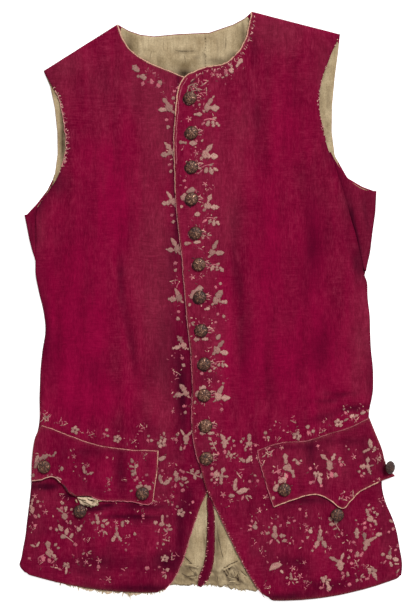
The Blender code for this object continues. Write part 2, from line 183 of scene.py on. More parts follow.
def gridFaces(rows, columns, wrap=False):
    # a quad between each pair of neighbouring rows and columns; wrap joins the last column to the first
    i, j = np.meshgrid(np.arange(rows - 1), np.arange(columns - (not wrap)), indexing="ij")
    here, right = i * columns + j, i * columns + (j + 1) % columns
    return np.stack([here, here + columns, right + columns, right], axis=-1).reshape(-1, 4)


def makePiece(name, points, faces, material, layers=None, facing=None, wall=0.0, merge=1e-6):
    # millimetres in, a merged mesh at the origin out; `facing` is the z sign of the side that is given,
    # and `wall` the thickness put behind it
    mesh = bpy.data.meshes.new(name)
    mesh.vertices.add(len(points))
    mesh.vertices.foreach_set("co", (np.asarray(points) * mm).astype(np.float32).ravel())
    mesh.loops.add(faces.size)
    mesh.loops.foreach_set("vertex_index", faces.astype(np.int32).ravel())
    mesh.polygons.add(len(faces))
    mesh.polygons.foreach_set("loop_start", np.arange(0, faces.size, 4, dtype=np.int32))
    mesh.update(calc_edges=True)
    for layer, values in (layers or {}).items():
        values = np.asarray(values, np.float32)
        kind, field = ("FLOAT_COLOR", "color") if values.ndim > 1 else ("FLOAT", "value")
        mesh.attributes.new(layer, kind, "POINT").data.foreach_set(field, values.ravel())
    shell = bmesh.new()
    shell.from_mesh(mesh)
    bmesh.ops.remove_doubles(shell, verts=shell.verts, dist=merge)
    bmesh.ops.recalc_face_normals(shell, faces=shell.faces)
    if facing is not None:
        far = max(shell.faces, key=lambda face: facing * face.calc_center_median().z)
        if far.normal.z * facing < 0:
            bmesh.ops.reverse_faces(shell, faces=shell.faces)
    shell.to_mesh(mesh)
    shell.free()
    mesh.shade_smooth()
    mesh.materials.append(material)
    piece = bpy.data.objects.new(name, mesh)
    bpy.context.scene.collection.objects.link(piece)
    if wall:
        solid = piece.modifiers.new("wall", "SOLIDIFY")
        solid.thickness, solid.offset = wall * mm, -1
    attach(piece, "root")
    return piece


def makeSheet(name, grids, material, wall, facing=1, layers=None):
    # cloth from one or more grids of points that share their seams' points; a layer is a list with an
    # array for each grid, or a plain array where there is one grid
    starts = np.cumsum([0] + [grid.shape[0] * grid.shape[1] for grid in grids])
    faces = np.vstack([gridFaces(*grid.shape[:2]) + start for grid, start in zip(grids, starts)])
    points = np.vstack([grid.reshape(-1, 3) for grid in grids])
    flat = {layer: np.concatenate([np.ravel(v) for v in values]) for layer, values in (layers or {}).items()}
    return makePiece(name, points, faces, material, flat, facing, wall)


def makeTubes(name, tubes, material):
    # each tube is (path, radius, colour): a circle of eight points carried along a path, square to its
    # heading in plan, and drawn to a point at each end
    angle = np.radians(np.arange(0, 360, 45))
    points, faces, run, colours, start = [], [], [], [], 0
    for path, radius, colour in tubes:
        path = np.asarray(path, float)
        way = np.gradient(path[:, :2], axis=0)
        way = way / np.maximum(np.hypot(*way.T), 1e-9)[:, None]
        across = np.column_stack([way[:, 1], -way[:, 0], np.zeros(len(path))])
        size = np.asarray(radius, float) * np.ones(len(path))
        size[[0, -1]] = 0
        ring = path[:, None] + across[:, None] * (size[:, None] * np.cos(angle))[..., None]
        ring[..., 2] += size[:, None] * np.sin(angle)
        points.append(ring.reshape(-1, 3))
        faces.append(gridFaces(len(path), 8, wrap=True) + start)
        run.append(np.repeat(runAlong(path), 8))
        colours.append(np.tile([*colour, 1.0], (len(path) * 8, 1)))
        start += len(path) * 8
    layers = {"run": np.concatenate(run), "dye": np.vstack(colours), "rim": np.full(start, 0.15)}
    return makePiece(name, np.vstack(points), np.vstack(faces), material, layers)


def makeStrokes(name, strokes, cloth, material, slot, lift=0.0, puff=1.0, bright=1.0):
    # satin-stitched strokes: each is an arc from (x, y) along its angle, bending on the way, as wide in
    # the middle as `width` and drawn in to both ends by a power of a sine, with a low rounded top
    s = np.array([row[:8] for row in strokes], float)
    colours = np.array([threadColours[row[8]] for row in strokes])
    count, along = len(s), 8
    t = np.linspace(0, 1, along)[None]
    jitter = rng.normal(size=(count, 4))
    x0, y0 = s[:, 0:1], s[:, 1:2]
    heading = np.radians(s[:, 2:3] + 4 * jitter[:, 0:1])
    length = s[:, 3:4] * (1 + 0.07 * jitter[:, 1:2])
    width = s[:, 4:5] * (1 + 0.10 * jitter[:, 2:3])
    bend = np.radians(s[:, 5:6])
    bend = np.where(np.abs(bend) < 0.01, 0.01, bend)
    x = x0 + length / bend * (np.sin(heading + bend * t) - np.sin(heading))
    y = y0 - length / bend * (np.cos(heading + bend * t) - np.cos(heading))
    taper = np.sin(math.pi * np.clip(t, 1e-6, 1 - 1e-6)) ** s[:, 6:7]
    taper[:, [0, -1]] = 0
    half = 0.5 * width * taper * (1 + 0.28 * rng.normal(size=(count, along)))
    way = heading + bend * t
    height, covers = cloth
    kept = covers(x, y).all(axis=1)
    angle = np.radians([0, 45, 90, 135, 180, 270])
    around = len(angle)
    across = half[..., None] * np.cos(angle)
    px = x[..., None] + across * np.sin(way)[..., None]
    py = y[..., None] - across * np.cos(way)[..., None]
    up = np.where(np.sin(angle) > 0, np.sin(angle), np.sin(angle) * 0.5)
    tall = puff * s[:, 7:8] * taper**0.5
    pz = height(px, py) + lift + tall[..., None] * up
    points = np.stack([px, py, pz], axis=-1)[kept].reshape(-1, 3)
    count = kept.sum()
    faces = gridFaces(along, around, wrap=True)[None] + (np.arange(count) * along * around)[:, None, None]
    shade = bright * (1 + 0.14 * jitter[:, 3:4])
    tint = np.repeat(np.column_stack([colours * shade, np.ones(len(kept))])[kept], along * around, axis=0)
    run = np.repeat((length * t)[kept].ravel(), around)
    rim = np.tile(np.where(np.sin(angle) > 0, 1 - np.sin(angle), 1.0), count * along)
    # for strokes in linen, the shade layer from the thread's name draws painted shade in creases and dark
    # stitching
    dark = {"dark": 1.1, "brown": 0.75, "tan": 0.45}
    shade = np.repeat(np.array([dark.get(row[8], 0.0) for row in strokes])[kept], along * around)
    layers = {"dye": tint, "run": run, "rim": rim, "shade": shade}
    return makePiece(name, points, faces.reshape(-1, 4), material, layers)


# Materials.

class Pin:
    # one socket of a material; arithmetic on it adds Math nodes, and node() adds any other
    def __init__(self, tree, socket=None):
        self.tree, self.socket = tree, socket

    def node(self, kind, settings=None, values=None, out=0):
        made = self.tree.nodes.new(kind)
        for name, setting in (settings or {}).items():
            setattr(made, name, setting)
        for key, value in (values or {}).items():
            if isinstance(value, Pin):
                self.tree.links.new(value.socket, made.inputs[key])
            else:
                made.inputs[key].default_value = value
        return Pin(self.tree, made.outputs[out])

    def math(self, operation, *values):
        return self.node("ShaderNodeMath", {"operation": operation}, dict(enumerate(values)))

    def __add__(self, other):
        return self.math("ADD", self, other)

    def __sub__(self, other):
        return self.math("SUBTRACT", self, other)

    def __rsub__(self, other):
        return self.math("SUBTRACT", other, self)

    def __mul__(self, other):
        return self.math("MULTIPLY", self, other)

    __radd__ = __add__

    def held(self):
        # between 0 and 1
        return self.node("ShaderNodeClamp", None, {0: self})

    def sine(self):
        return self.math("SINE", self)

    def ramp(self, low, high):
        # 0 below low and 1 above high
        return self.node("ShaderNodeMapRange", {"clamp": True}, {0: self, 1: low, 2: high, 3: 0.0, 4: 1.0})


def newLook(name, roughness, specular):
    # a material, a pin to build on, its shader, and the place of each point in metres
    made = bpy.data.materials.new(name)
    made.use_nodes = True
    shader = made.node_tree.nodes["Principled BSDF"]
    shader.inputs["Roughness"].default_value = roughness
    shader.inputs["Specular IOR Level"].default_value = specular
    pin = Pin(made.node_tree)
    return made, pin, shader, pin.node("ShaderNodeTexCoord", out="Object")


def wire(shader, values):
    for key, value in values.items():
        value.tree.links.new(value.socket, shader.inputs[key])


def dye(red, green, blue):
    # a colour as seen on a screen, 0 to 255, as the linear one that shaders use
    part = np.array([red, green, blue]) / 255
    return tuple(np.where(part < 0.04045, part / 12.92, ((part + 0.055) / 1.055) ** 2.4))


def mixed(pin, factor, first, second):
    # the first colour where the factor is 0, the second where it is 1
    ends = [value if isinstance(value, Pin) else (*value, 1.0) for value in (first, second)]
    return pin.node("ShaderNodeMix", {"data_type": "RGBA"}, {0: factor, 6: ends[0], 7: ends[1]}, out=2)


def noise(pin, place, perMetre, detail=2.0, rough=0.5):
    # cloudy values from 0 to 1, drawn out along each axis as given in cycles per metre
    spread = pin.node("ShaderNodeVectorMath", {"operation": "MULTIPLY"}, {0: place, 1: perMetre})
    values = {"Vector": spread, "Scale": 1.0, "Detail": detail, "Roughness": rough}
    return pin.node("ShaderNodeTexNoise", None, values)


def bumped(pin, strength, depth, height):
    return pin.node("ShaderNodeBump", None, {"Strength": strength, "Distance": depth, "Height": height})


def attribute(pin, name, out="Fac"):
    return pin.node("ShaderNodeAttribute", {"attribute_name": name}, out=out)


def scaled(pin, colour, by):
    return pin.node("ShaderNodeVectorMath", {"operation": "SCALE"}, {0: colour, 3: by})


silkDyes = {
    "crimson": dye(114, 0, 42),
    "faded": dye(114, 24, 48),
    "glowing": dye(120, 0, 45),
    "slub": dye(132, 42, 66),
    # the colour of painted shade
    "trough": dye(46, 0, 20),
    "worn": dye(150, 96, 84),
}


def silkLook(name):
    # ribbed silk: fine uneven threads along y crossed by finer ones, over slow blotches of fading, with
    # painted shade and painted light from the shade layer
    made, pin, shader, place = newLook(name, 0.6, 0.025)
    ribs = noise(pin, place, (640, 90, 300), 3, 0.7)
    weft = noise(pin, place, (90, 560, 300), 3, 0.7)
    threads = noise(pin, place, (1300, 200, 900), 2, 0.6)
    turned = noise(pin, place, (30, 24, 30), 2, 0.5).ramp(0.42, 0.6)
    cloud = noise(pin, place, (16, 9, 12), 3, 0.55)
    drift = noise(pin, place, (60, 26, 40), 3, 0.6)
    streak = noise(pin, place, (62, 5, 30), 3, 0.6)
    mottle = noise(pin, place, (150, 110, 100), 4, 0.7)
    fade = (attribute(pin, "fade") + (cloud - 0.5) * 1.5 + (drift - 0.5) * 1.2).held()
    glow = (attribute(pin, "glow") + (0.47 - cloud) * 1.0 + (streak - 0.5) * 1.3).held()
    colour = mixed(pin, fade * 0.9, silkDyes["crimson"], silkDyes["faded"])
    colour = mixed(pin, glow * 0.95, colour, silkDyes["glowing"])
    weave = ribs * (0.85 - turned * 0.5) + weft * (turned * 0.5 + 0.15)
    pale = (weave.ramp(0.48, 0.74) * 0.4 + mottle.ramp(0.5, 0.8) * 0.3 + threads.ramp(0.5, 0.75) * 0.2).held()
    colour = mixed(pin, pale * (1.1 - glow * 0.9), colour, silkDyes["slub"])
    # painted light where the shade layer is below zero
    lit = (attribute(pin, "shade") * -1.0).held()
    level = 0.98 + lit * 0.6 + (weave - 0.5) * 1.05 + (threads - 0.5) * 0.5 + (mottle - 0.5) * 0.5
    level = level + (drift - 0.5) * 0.4 + (streak - 0.5) * 0.55
    colour = scaled(pin, colour, level)
    # painted shade where the shade layer is above zero, broken up by the noise
    broken = attribute(pin, "shade") * (0.35 + mottle * 0.6 + drift * 0.7)
    colour = mixed(pin, broken.held(), colour, silkDyes["trough"])
    rub = noise(pin, place, (700, 500, 400), 3, 0.7)
    colour = mixed(pin, (attribute(pin, "wear") * rub.ramp(0.42, 0.62)).held(), colour, silkDyes["worn"])
    height = weave * 0.7 + threads * 0.3 + mottle * 0.8
    bump = bumped(pin, 0.6, 0.0005, height)
    wire(shader, {"Base Color": colour, "Roughness": 0.50 + (1 - pale) * 0.14, "Normal": bump})
    return made


linenDyes = {
    "plain": dye(150, 129, 98),
    "pale": dye(182, 163, 130),
    "clean": dye(214, 186, 162),
    "grimy": dye(98, 80, 52),
    "shadeAndDarkThread": dye(46, 28, 22),
}


def linenLook(name):
    # plain-woven linen: threads both ways, slubs along y, grime in blotches, and painted shade with dark
    # stitching from the shade layer
    made, pin, shader, place = newLook(name, 0.9, 0.1)
    warp = noise(pin, place, (480, 34, 200), 3, 0.65)
    weft = noise(pin, place, (50, 480, 200), 2, 0.6)
    cloud = noise(pin, place, (40, 26, 30), 5, 0.65)
    clean = (attribute(pin, "fade") * -1.0).held()
    colour = mixed(pin, (cloud.ramp(0.35, 0.7) - clean).held(), linenDyes["pale"], linenDyes["plain"])
    colour = mixed(pin, clean, colour, linenDyes["clean"])
    gaps = (warp.ramp(0.5, 0.78) * 0.38 + weft.ramp(0.55, 0.8) * 0.2).held()
    colour = mixed(pin, gaps, colour, linenDyes["grimy"])
    grime = (attribute(pin, "fade") * (0.4 + cloud * 1.2) + (cloud - 0.55) * 0.8).held()
    colour = mixed(pin, grime * 0.8, colour, linenDyes["grimy"])
    speckle = noise(pin, place, (560, 430, 300), 3, 0.75)
    # painted shade, with the dark of stitched lines, where the shade layer says
    broken = attribute(pin, "shade") * (0.2 + cloud * 0.7 + speckle * 0.9)
    colour = scaled(pin, colour, 0.52 + speckle * 1.06)
    colour = mixed(pin, broken.held(), colour, linenDyes["shadeAndDarkThread"])
    bump = bumped(pin, 0.5, 0.0004, warp * 0.6 + weft * 0.4)
    wire(shader, {"Base Color": colour, "Normal": bump, "Roughness": 0.85 + warp * 0.1})
    return made


threadColours = {
    "tan": dye(157, 117, 106),
    "straw": dye(168, 129, 117),
    "pink": dye(178, 96, 106),
    "rose": dye(142, 58, 74),
    "blush": dye(208, 152, 146),
    "pale": dye(196, 150, 134),
    "brown": dye(92, 48, 44),
    "dark": dye(46, 6, 16),
    "crimson": dye(128, 10, 46),
    "linen": dye(190, 168, 138),
}


def threadLook(name):
    # stitched thread: the piece's own dye, lined across its run where one thread lies by the next,
    # and worn through to the crimson ground in places
    made, pin, shader, place = newLook(name, 0.6, 0.25)
    own = attribute(pin, "dye", out="Color")
    lines = (attribute(pin, "run") * (2 * math.pi / 0.7)).sine() * 0.5 + 0.5
    grain = noise(pin, place, (620, 620, 400), 3, 0.7)
    worn = noise(pin, place, (600, 560, 300), 3, 0.7).ramp(0.53, 0.62)
    colour = scaled(pin, own, 0.16 + grain * 1.7 + lines * 0.14)
    edge = (attribute(pin, "rim") * 0.75 + (grain - 0.5) * 0.8).held()
    colour = mixed(pin, edge * 0.62, colour, silkDyes["slub"])
    colour = mixed(pin, worn * 0.7, colour, silkDyes["slub"])
    bump = bumped(pin, 0.7, 0.0003, lines * 0.6 + grain * 0.5)
    wire(shader, {"Base Color": colour, "Roughness": 0.5 + grain * 0.25, "Normal": bump})
    return made


def metalLook(name):
    # tarnished silver thread wound over a mould: bright on the ridges, brown in the hollows
    made, pin, shader, place = newLook(name, 0.5, 0.4)
    ridge = attribute(pin, "ridge")
    grain = noise(pin, place, (620, 620, 500), 3, 0.7)
    patch = noise(pin, place, (190, 190, 150), 2, 0.6)
    lift = (ridge * 0.55 + (grain - 0.44) * 2.2 + (patch - 0.5) * 1.3).held()
    colour = mixed(pin, lift.ramp(0.2, 0.7), dye(40, 12, 9), dye(110, 68, 50))
    # the palest specks, where ridge and grain are highest, are painted glints
    colour = mixed(pin, (lift * grain).ramp(0.40, 0.60), colour, dye(188, 150, 122))
    wire(shader, {
        "Base Color": colour,
        "Roughness": 0.62 - lift * 0.2,
        "Metallic": lift * 0.45,
        "Normal": bumped(pin, 0.5, 0.0003, grain),
    })
    return made


silk = silkLook("crimson_silk_cloth")
linen = linenLook("cream_linen_cloth")
thread = threadLook("embroidery_thread")
metal = metalLook("tarnished_metal_thread")
print("materials made")


# The layers' heights, as the frame has them, and the walls of the cloth.

layersAt = {
    "silkWall": 1.0,
    "linenWall": 0.8,
    "liningTop": 2.55,
    "stripTop": 3.9,
    "frontTop": 5.45,
    "lapRise": 1.55,
    "lapSlope": 26,
    "lapEnd": -262,
    "shoulderDrop": 2.7,
    "sideRoll": 2.725,
    "flapLift": 1.55,
}

# Both fronts: inner edge x and y, outer edge x and y, how far the outer edge rolls down, and how
# far the middle of the row hangs below its ends.
frontLeft = {
    "rows": [
        (55, 397, 174, 366, 0.0, 0), (53, 385, 168, 352, 0.8, 0), (47, 360, 160, 333, 1.0, 0),
        (36, 341, 153, 316, 1.0, 0), (18, 326, 148, 300, 1.0, 0), (-8, 321, 146, 284, 1.0, 0),
        (-34, 309, 146, 268, 1.0, 0), (-44, 290, 149, 249, 1.0, 0), (-48, 255, 154, 228, 1.0, 0),
        (-50, 225, 158, 211, 0.5, 0), (-49, 190, 168, 186, 0.0, 0), (-48, 150, 180, 148, 0.0, 0),
        (-44, 105, 192, 108, 0.0, 0), (-39, 66, 202, 66, 0.0, 0), (-37.5, 42, 205.5, 45, 0.0, 0),
        (-36.5, 32, 210, 31, 0.6, 0), (-35, 15, 212, 14, 3.8, 0), (-32, -20, 215, -20, 3.8, 0),
        (-27, -66, 217, -62, 3.8, 0), (-25, -110, 219.5, -110, 3.8, 0), (-26, -155, 214, -150, 3.8, 0),
        (-22, -190, 225, -180, 3.8, 0), (-13, -222, 232, -210, 3.8, 0), (-6, -248, 231, -242, 3.8, 0),
        (3, -266, 237, -267, 3.8, 0), (18, -298, 249, -296, 3.8, 0), (35, -333, 255, -325, 3.8, 1),
        (53, -366, 258.3, -350, 3.0, 4), (74, -396.8, 256.5, -365, 2.0, 10),
    ],
    "lapping": True,
    "corners": (6, 12),
    "flat": (0.32, 0.80),
    "area": 0.176,
    "glow": [
        (104, 245, 34, 56, 0.8), (78, 70, 26, 100, 0.9), (140, 105, 20, 66, 0.8), (165, -58, 28, 70, 0.8),
        (104, -95, 44, 62, 0.8), (75, -60, 20, 50, 0.5), (202, 112, 14, 26, 0.7), (20, -64, 12, 50, 0.35),
        (110, 320, 30, 30, 0.3), (12, 36, 10, 16, 0.6), (44, -90, 14, 60, 0.5), (120, -10, 24, 60, 0.5),
    ],
    "fade": [
        (32, 200, 28, 80, 0.55), (202, -60, 18, 110, 0.75), (84, 370, 50, 26, 0.8), (150, 300, 14, 50, 0.8),
        (24, 104, 16, 40, 0.5), (178, 150, 16, 30, 0.5), (40, 250, 20, 30, 0.4), (20, 320, 30, 16, 0.6),
        (120, -210, 80, 24, 0.4), (60, -330, 40, 40, 0.3), (-14, 40, 24, 330, 0.8), (150, 350, 20, 20, 0.5),
        (240, -300, 12, 70, 0.6),
    ],
    # spots of painted light
    "lit": [
        (34, 205, 24, 56, 0.9), (98, 256, 28, 44, 0.5), (74, 80, 14, 80, 0.6), (88, 368, 34, 22, 0.5),
        (196, -60, 12, 90, 0.5), (104, -40, 12, 60, 0.4),
    ],
    # spots of painted shade
    "shade": [
        (138, 98, 17, 58, 0.30), (40, 30, 6, 44, 0.22), (50, -40, 9, 66, 0.3), (150, -52, 14, 30, 0.22),
        (30, 58, 6, 60, 0.3),
        (196, -139, 22, 6, 0.34), (150, -150, 24, 6, 0.14), (176, -118, 24, 4, 0.3),
        (150, -128, 20, 3, 0.25), (112, -350, 26, 12, 0.2), (155, -376, 30, 7, 0.34),
        (95, -392, 40, 5, 0.4), (136, -262, 34, 6, 0.4), (-2, -98, 18, 6, 0.3), (198, 60, 7, 36, 0.35),
        (62, 250, 10, 26, 0.2), (58, 340, 6, 26, 0.25), (215, -100, 6, 40, 0.2), (104, -95, 30, 34, 0.06),
        (165, -60, 24, 40, 0.05),
    ],
}
frontRight = {
    "rows": [
        (-126, 380, -226, 317, 0.0, 0), (-121, 364, -218, 303, 0.8, 0), (-109, 345, -208, 286, 1.0, 0),
        (-90, 331, -202, 267, 1.0, 0), (-68, 321, -199, 249, 1.0, 0), (-46, 312, -197, 231, 1.0, 0),
        (-26, 304, -195.5, 214, 1.0, 0), (-13, 292, -199, 196, 1.0, 0), (-10, 268, -208, 172, 0.7, 0),
        (-10, 235, -222, 150, 0.3, 0), (-10, 200, -234.5, 130, 0.0, 0), (-10, 160, -236, 100, 0.0, 0),
        (-7, 110, -236, 74, 0.0, 0), (-3, 70, -236.6, 56, 0.0, 0), (-1, 40, -236, 38, 0.8, 0),
        (0, 12, -232, 14, 3.8, 0), (3, -25, -224, -24, 3.8, 0), (6, -66, -228, -64, 3.8, 0),
        (7, -110, -232, -110, 3.8, 0), (9, -155, -232, -155, 3.8, 0), (11, -190, -239, -190, 3.8, 0),
        (8, -222, -242.5, -225, 3.8, 0), (-3, -247, -244, -250, 3.8, 0), (-14, -270, -247, -276, 3.8, 0),
        (-27, -308, -251.5, -312, 3.8, 0), (-38, -343, -256, -338, 3.8, 1), (-51, -370, -258.3, -350, 3.0, 4),
        (-66, -386, -250, -361, 1.6, 8),
    ],
    "lapping": False,
    "corners": (5, 9),
    "flat": (0.27, 0.78),
    "area": 0.162,
    "glow": [
        (-192, 80, 34, 80, 0.55), (-192, -50, 42, 100, 0.95), (-130, 160, 32, 56, 0.9),
        (-150, -124, 50, 30, 0.9),
        (-150, 208, 30, 22, 0.6), (-146, -20, 24, 70, 0.6), (-122, 105, 14, 40, 0.7),
        (-110, -335, 40, 30, 0.2),
        (-150, -215, 40, 16, 0.3),
    ],
    "fade": [
        (-84, 30, 28, 90, 0.7), (-69, -70, 24, 66, 0.75), (-110, 300, 60, 50, 0.6), (-60, 240, 26, 80, 0.75),
        (-204, 326, 36, 34, 0.8), (-88, 150, 16, 80, 0.5), (-62, 0, 16, 300, 0.5), (-235, -250, 14, 80, 0.5),
        (-70, -230, 40, 60, 0.4), (-204, 240, 10, 70, 0.5), (-230, 110, 8, 40, 0.5), (-78, -130, 30, 24, 0.5),
    ],
    # spots of painted light
    "lit": [
        (-130, 170, 24, 64, 0.9), (-150, -122, 44, 18, 0.7), (-134, 60, 7, 70, 0.5),
        (-96, -10, 12, 60, 0.3), (-100, -330, 30, 22, 0.5),
    ],
    # spots of painted shade
    "shade": [
        (-122, 32, 6, 46, 0.3), (-104, -56, 6, 40, 0.22), (-44, -70, 13, 60, 0.42), (-38, -130, 8, 46, 0.5),
        (-70, -66, 16, 44, 0.26),
        (-54, 60, 6, 60, 0.2), (-231, 140, 8, 20, 0.3), (-195, -298, 20, 14, 0.2),
        (-205, -200, 12, 24, 0.3), (-150, -345, 70, 12, 0.3), (-90, -380, 60, 6, 0.5),
        (-30, -262, 9, 30, 0.4), (-40, -310, 7, 40, 0.4), (-108, -284, 44, 3, 0.4), (-90, -270, 30, 4, 0.35),
        (-222, -243, 18, 5, 0.7), (-164, -273, 20, 4, 0.9), (-192, -256, 10, 5, 0.6),
        (-140, -268, 12, 3, 0.5),
        (-47, 100, 4, 50, 0.28), (-222, -30, 7, 60, 0.3), (-208, 163, 14, 20, 0.34), (-186, 60, 30, 60, 0.1),
        (-80, -15, 24, 80, 0.07), (-150, 290, 40, 36, 0.06), (-60, -345, 18, 16, 0.35),
        (-80, -165, 14, 14, 0.2),
    ],
}

# Ridges and troughs that both fronts share: a line, its bow, breadth, height and lean.
frontCreases = [
    (-108, 70, -86, -84, 0, 13, 1.6, 0.2), (-142, 62, -118, -80, 0, 15, 1.2, 0),
    (22, 60, 31, -110, 0, 11, 0.9, 0),
    (56, 50, 60, -100, 0, 15, 1.4, 0), (120, 150, 124, 50, 0, 14, 1.3, 0),
    (150, -95, 205, -128, 0, 12, 1.6, 0),
    (128, -120, 190, -152, 0, 12, 1.2, 0), (-186, 90, -214, -40, 0, 14, 1.2, 0),
    (-150, -300, -70, -308, 0, 13, 1.3, 0),
    (120, -300, 160, -375, 0, 15, 1.2, 0), (205, -290, 232, -350, 0, 13, 1.3, 0),
    (-205, -290, -190, -345, 0, 14, 1.2, 0),
    (-122, 64, -101, -90, 3, 7, -1.5, 0), (34, 60, 41, -25, -2, 6, -1.3, 0),
    (41, -15, 42, -110, 2, 7, -1.6, 0),
    (136, 145, 138, 20, 3, 9, -1.3, 0), (164, -146, 216, -134, -3, 4.5, -1.7, 0.3),
    (150, -134, 200, -116, -3, 4, -1.0, 0), (120, -160, 178, -136, 3, 6, -1.2, 0),
    (-136, -280, -60, -288, 3, 5, -1.2, 0), (-120, -296, -64, -290, 0, 5, -0.8, 0),
    (80, -340, 131, -344, 2, 6, -1.0, 0),
    (70, -30, 84, -130, 4, 7, -0.7, 0), (96, -60, 118, -140, 0, 8, 0.7, 0),
    (176, 20, 180, -90, 3, 10, 0.8, 0),
    (-170, 120, -176, -60, 4, 9, 0.6, 0), (-200, 60, -208, -120, 2, 7, -0.7, 0),
    (-160, -60, -150, -150, 2, 8, -0.6, 0),
    (90, 290, 96, 150, 4, 12, 0.6, 0), (62, 290, 66, 190, 3, 8, -0.6, 0),
    (-90, 300, -84, 120, -5, 12, 0.5, 0),
    (-160, 280, -150, 150, 5, 12, 0.5, 0), (-75, -20, -60, -150, 3, 8, 0.6, 0),
    (180, 110, 200, 40, 2, 6, -1.0, 0),
    (-90, -150, -100, -190, 0, 7, -0.6, 0), (30, -300, 60, -350, 2, 8, 0.6, 0),
    (170, -370, 245, -350, 2, 4, -0.6, 0),
    (90, -388, 170, -381, 2, 4, -0.7, 0), (-200, -352, -120, -372, 2, 4, -0.6, 0),
    (-240, -230, -246, -300, 0, 6, -0.8, 0),
]


def standX(y):
    # the hidden edge of the lower front at a height
    rows = np.array([(row[1], row[0]) for row in frontRight["rows"]])[::-1]
    return np.interp(y, rows[:, 0], rows[:, 1])


def frontRelief(x, y):
    # creases and soft uneven puckering, calm along the line of buttons
    rise = creaseHeight(x, y, frontCreases)
    skirt = 0.5 + smooth((-130 - y) / 60)
    rise = rise + 0.32 * ripples(x, y, 3, 36, 2.0) + 0.14 * skirt * ripples(x, y, 4, 14, 1.3)
    rise = rise + 0.04 * ripples(x, y, 9, 6)
    calm = 1 - 0.75 * np.exp(-(((x + 14) / 16) ** 2)) * smooth((320 - y) / 20) * smooth((y + 240) / 30)
    return np.clip(rise, -1.6, 2.6) * calm


def lapRise(x, y):
    # the lift of the lapping front over the lower one, sloping off past that one's edge
    beyond = x - standX(y) - 2
    ending = smooth((y - layersAt["lapEnd"]) / 10)
    return layersAt["lapRise"] * (1 - smooth(beyond / layersAt["lapSlope"])) * ending


def frontGrid(front, rows, columns):
    # straight rows between two edges, closer together near them, with the outer edge rolled down
    table = np.array(front["rows"], float)
    fine = curveThrough(table, np.linspace(0, len(table) - 1, 1500))
    run = (runAlong(fine[:, :2]) + runAlong(fine[:, 2:4])) / 2
    want = np.linspace(0, run[-1], rows)
    row = np.column_stack([np.interp(want, run, column) for column in fine.T])
    inner, outer = row[:, None, 0:2], row[:, None, 2:4]
    drop, bow = np.clip(row[:, None, 4], 0, 4), row[:, None, 5]
    wander = 0.3 * ripples(want, want * 0, 7, 40)[:, None, None] * [[[1.0, 0.4]]]
    inner = inner + wander * smooth(want / 30)[:, None, None]
    span = np.hypot(*(outer - inner)[:, 0].T)[:, None]
    outer = outer - (outer - inner) / span[:, :, None] * (0.5 * smooth(drop / 3))[:, :, None]
    outer = outer + 0.35 * ripples(want, want * 0, 8, 46)[:, None, None] * [[[1.0, 0.3]]]
    span = np.hypot(*(outer - inner)[:, 0].T)[:, None]
    u = np.linspace(0, 1, columns)[None]
    share = 0.6 * u + 0.4 * (1 - np.cos(math.pi * u)) / 2
    plan = inner + (outer - inner) * share[:, :, None]
    fromOuter, fromInner = span * (1 - share), span * share
    fromHem = (want[-1] - want)[:, None] * np.ones_like(share)
    inward = (inner - outer) / span[:, :, None]
    for away, sign, corner in ((fromOuter, 1, front["corners"][0]), (fromInner, -1, front["corners"][1])):
        # a square corner drawn in to a quarter disc
        p, q = np.clip(1 - away / corner, 0, 1), np.clip(1 - fromHem / corner, 0, 1)
        shrink = 1 - np.maximum(p, q) / np.maximum(np.hypot(p, q), 1e-9)
        shrink = np.where((p > 0) & (q > 0), shrink, 0) * corner
        plan = plan + inward * (sign * p * shrink)[..., None] + np.array([0, 1]) * (q * shrink)[..., None]
    x, y = plan[..., 0], plan[..., 1] - bow * 4 * share * (1 - share)
    z = layersAt["frontTop"] + frontRelief(x, y) * smooth(fromOuter / 12)
    z = z - drop * quarterRoll(fromOuter, 10) - 0.5 * quarterRoll(np.minimum(fromInner, fromHem), 1.8)
    shoulder = front["rows"][0]
    side, beyond, _ = lineDistance(x, y, *shoulder[:4])
    z = z - layersAt["shoulderDrop"] * quarterRoll(np.hypot(side, beyond), 10)
    if front["lapping"]:
        z = z + lapRise(x, y)
    return np.dstack([x, y, z]), fromInner, fromOuter, fromHem


def makeFront(name, node, front):
    grid, fromInner, fromOuter, fromHem = frontGrid(front, rows=372, columns=124)
    x, y = grid[..., 0], grid[..., 1]
    edge = np.minimum(fromInner, fromHem)
    # painted shade: the table's spots, along the rolled outer edge and the hem, and darker towards the skirts
    shade = 1.35 * patches(x, y, front["shade"]) + 0.35 * np.exp(-fromOuter / 3.5)
    shade = shade + 0.3 * np.exp(-fromHem / 3) + 0.17 * smooth((-140 - y) / 60)
    if not front["lapping"]:
        # a painted shadow beside the lapping front's edge
        besideLap = x - np.interp(y, *lapEdge)
        shade = shade + 0.75 * np.exp(-np.abs(besideLap) / 3.0) * smooth((y - layersAt["lapEnd"]) / 12)
    # painted shade in the creases' troughs, painted light on their ridges
    shade = shade - 0.22 * np.clip(frontRelief(x, y), -1.5, 0.6)
    layers = {
        "fade": patches(x, y, front["fade"]) + 0.12 * smooth((-140 - y) / 60) + 0.35 * np.exp(-fromOuter / 9),
        "glow": 1.2 * patches(x, y, front["glow"]),
        # the lit spots are painted light
        "shade": np.clip(shade - 0.25 * patches(x, y, front["lit"]), -0.3, 0.85),
        "wear": np.exp(-edge / 1.2) * 0.7,
    }
    piece = makeSheet(name, [grid], silk, layersAt["silkWall"], 1, layers)
    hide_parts(node)
    return piece, surfaceOver(frontGrid(front, rows=900, columns=280)[0])


leftInner = np.array([(row[1], row[0]) for row in frontLeft["rows"] if row[1] < 305])[::-1]
lapEdge = leftInner[:, 0], leftInner[:, 1]

silkFrontRight, overRight = makeFront("silk_front_right", "front_right", frontRight)
silkFrontLeft, overLeft = makeFront("silk_front_left", "front_left", frontLeft)
print("fronts made")

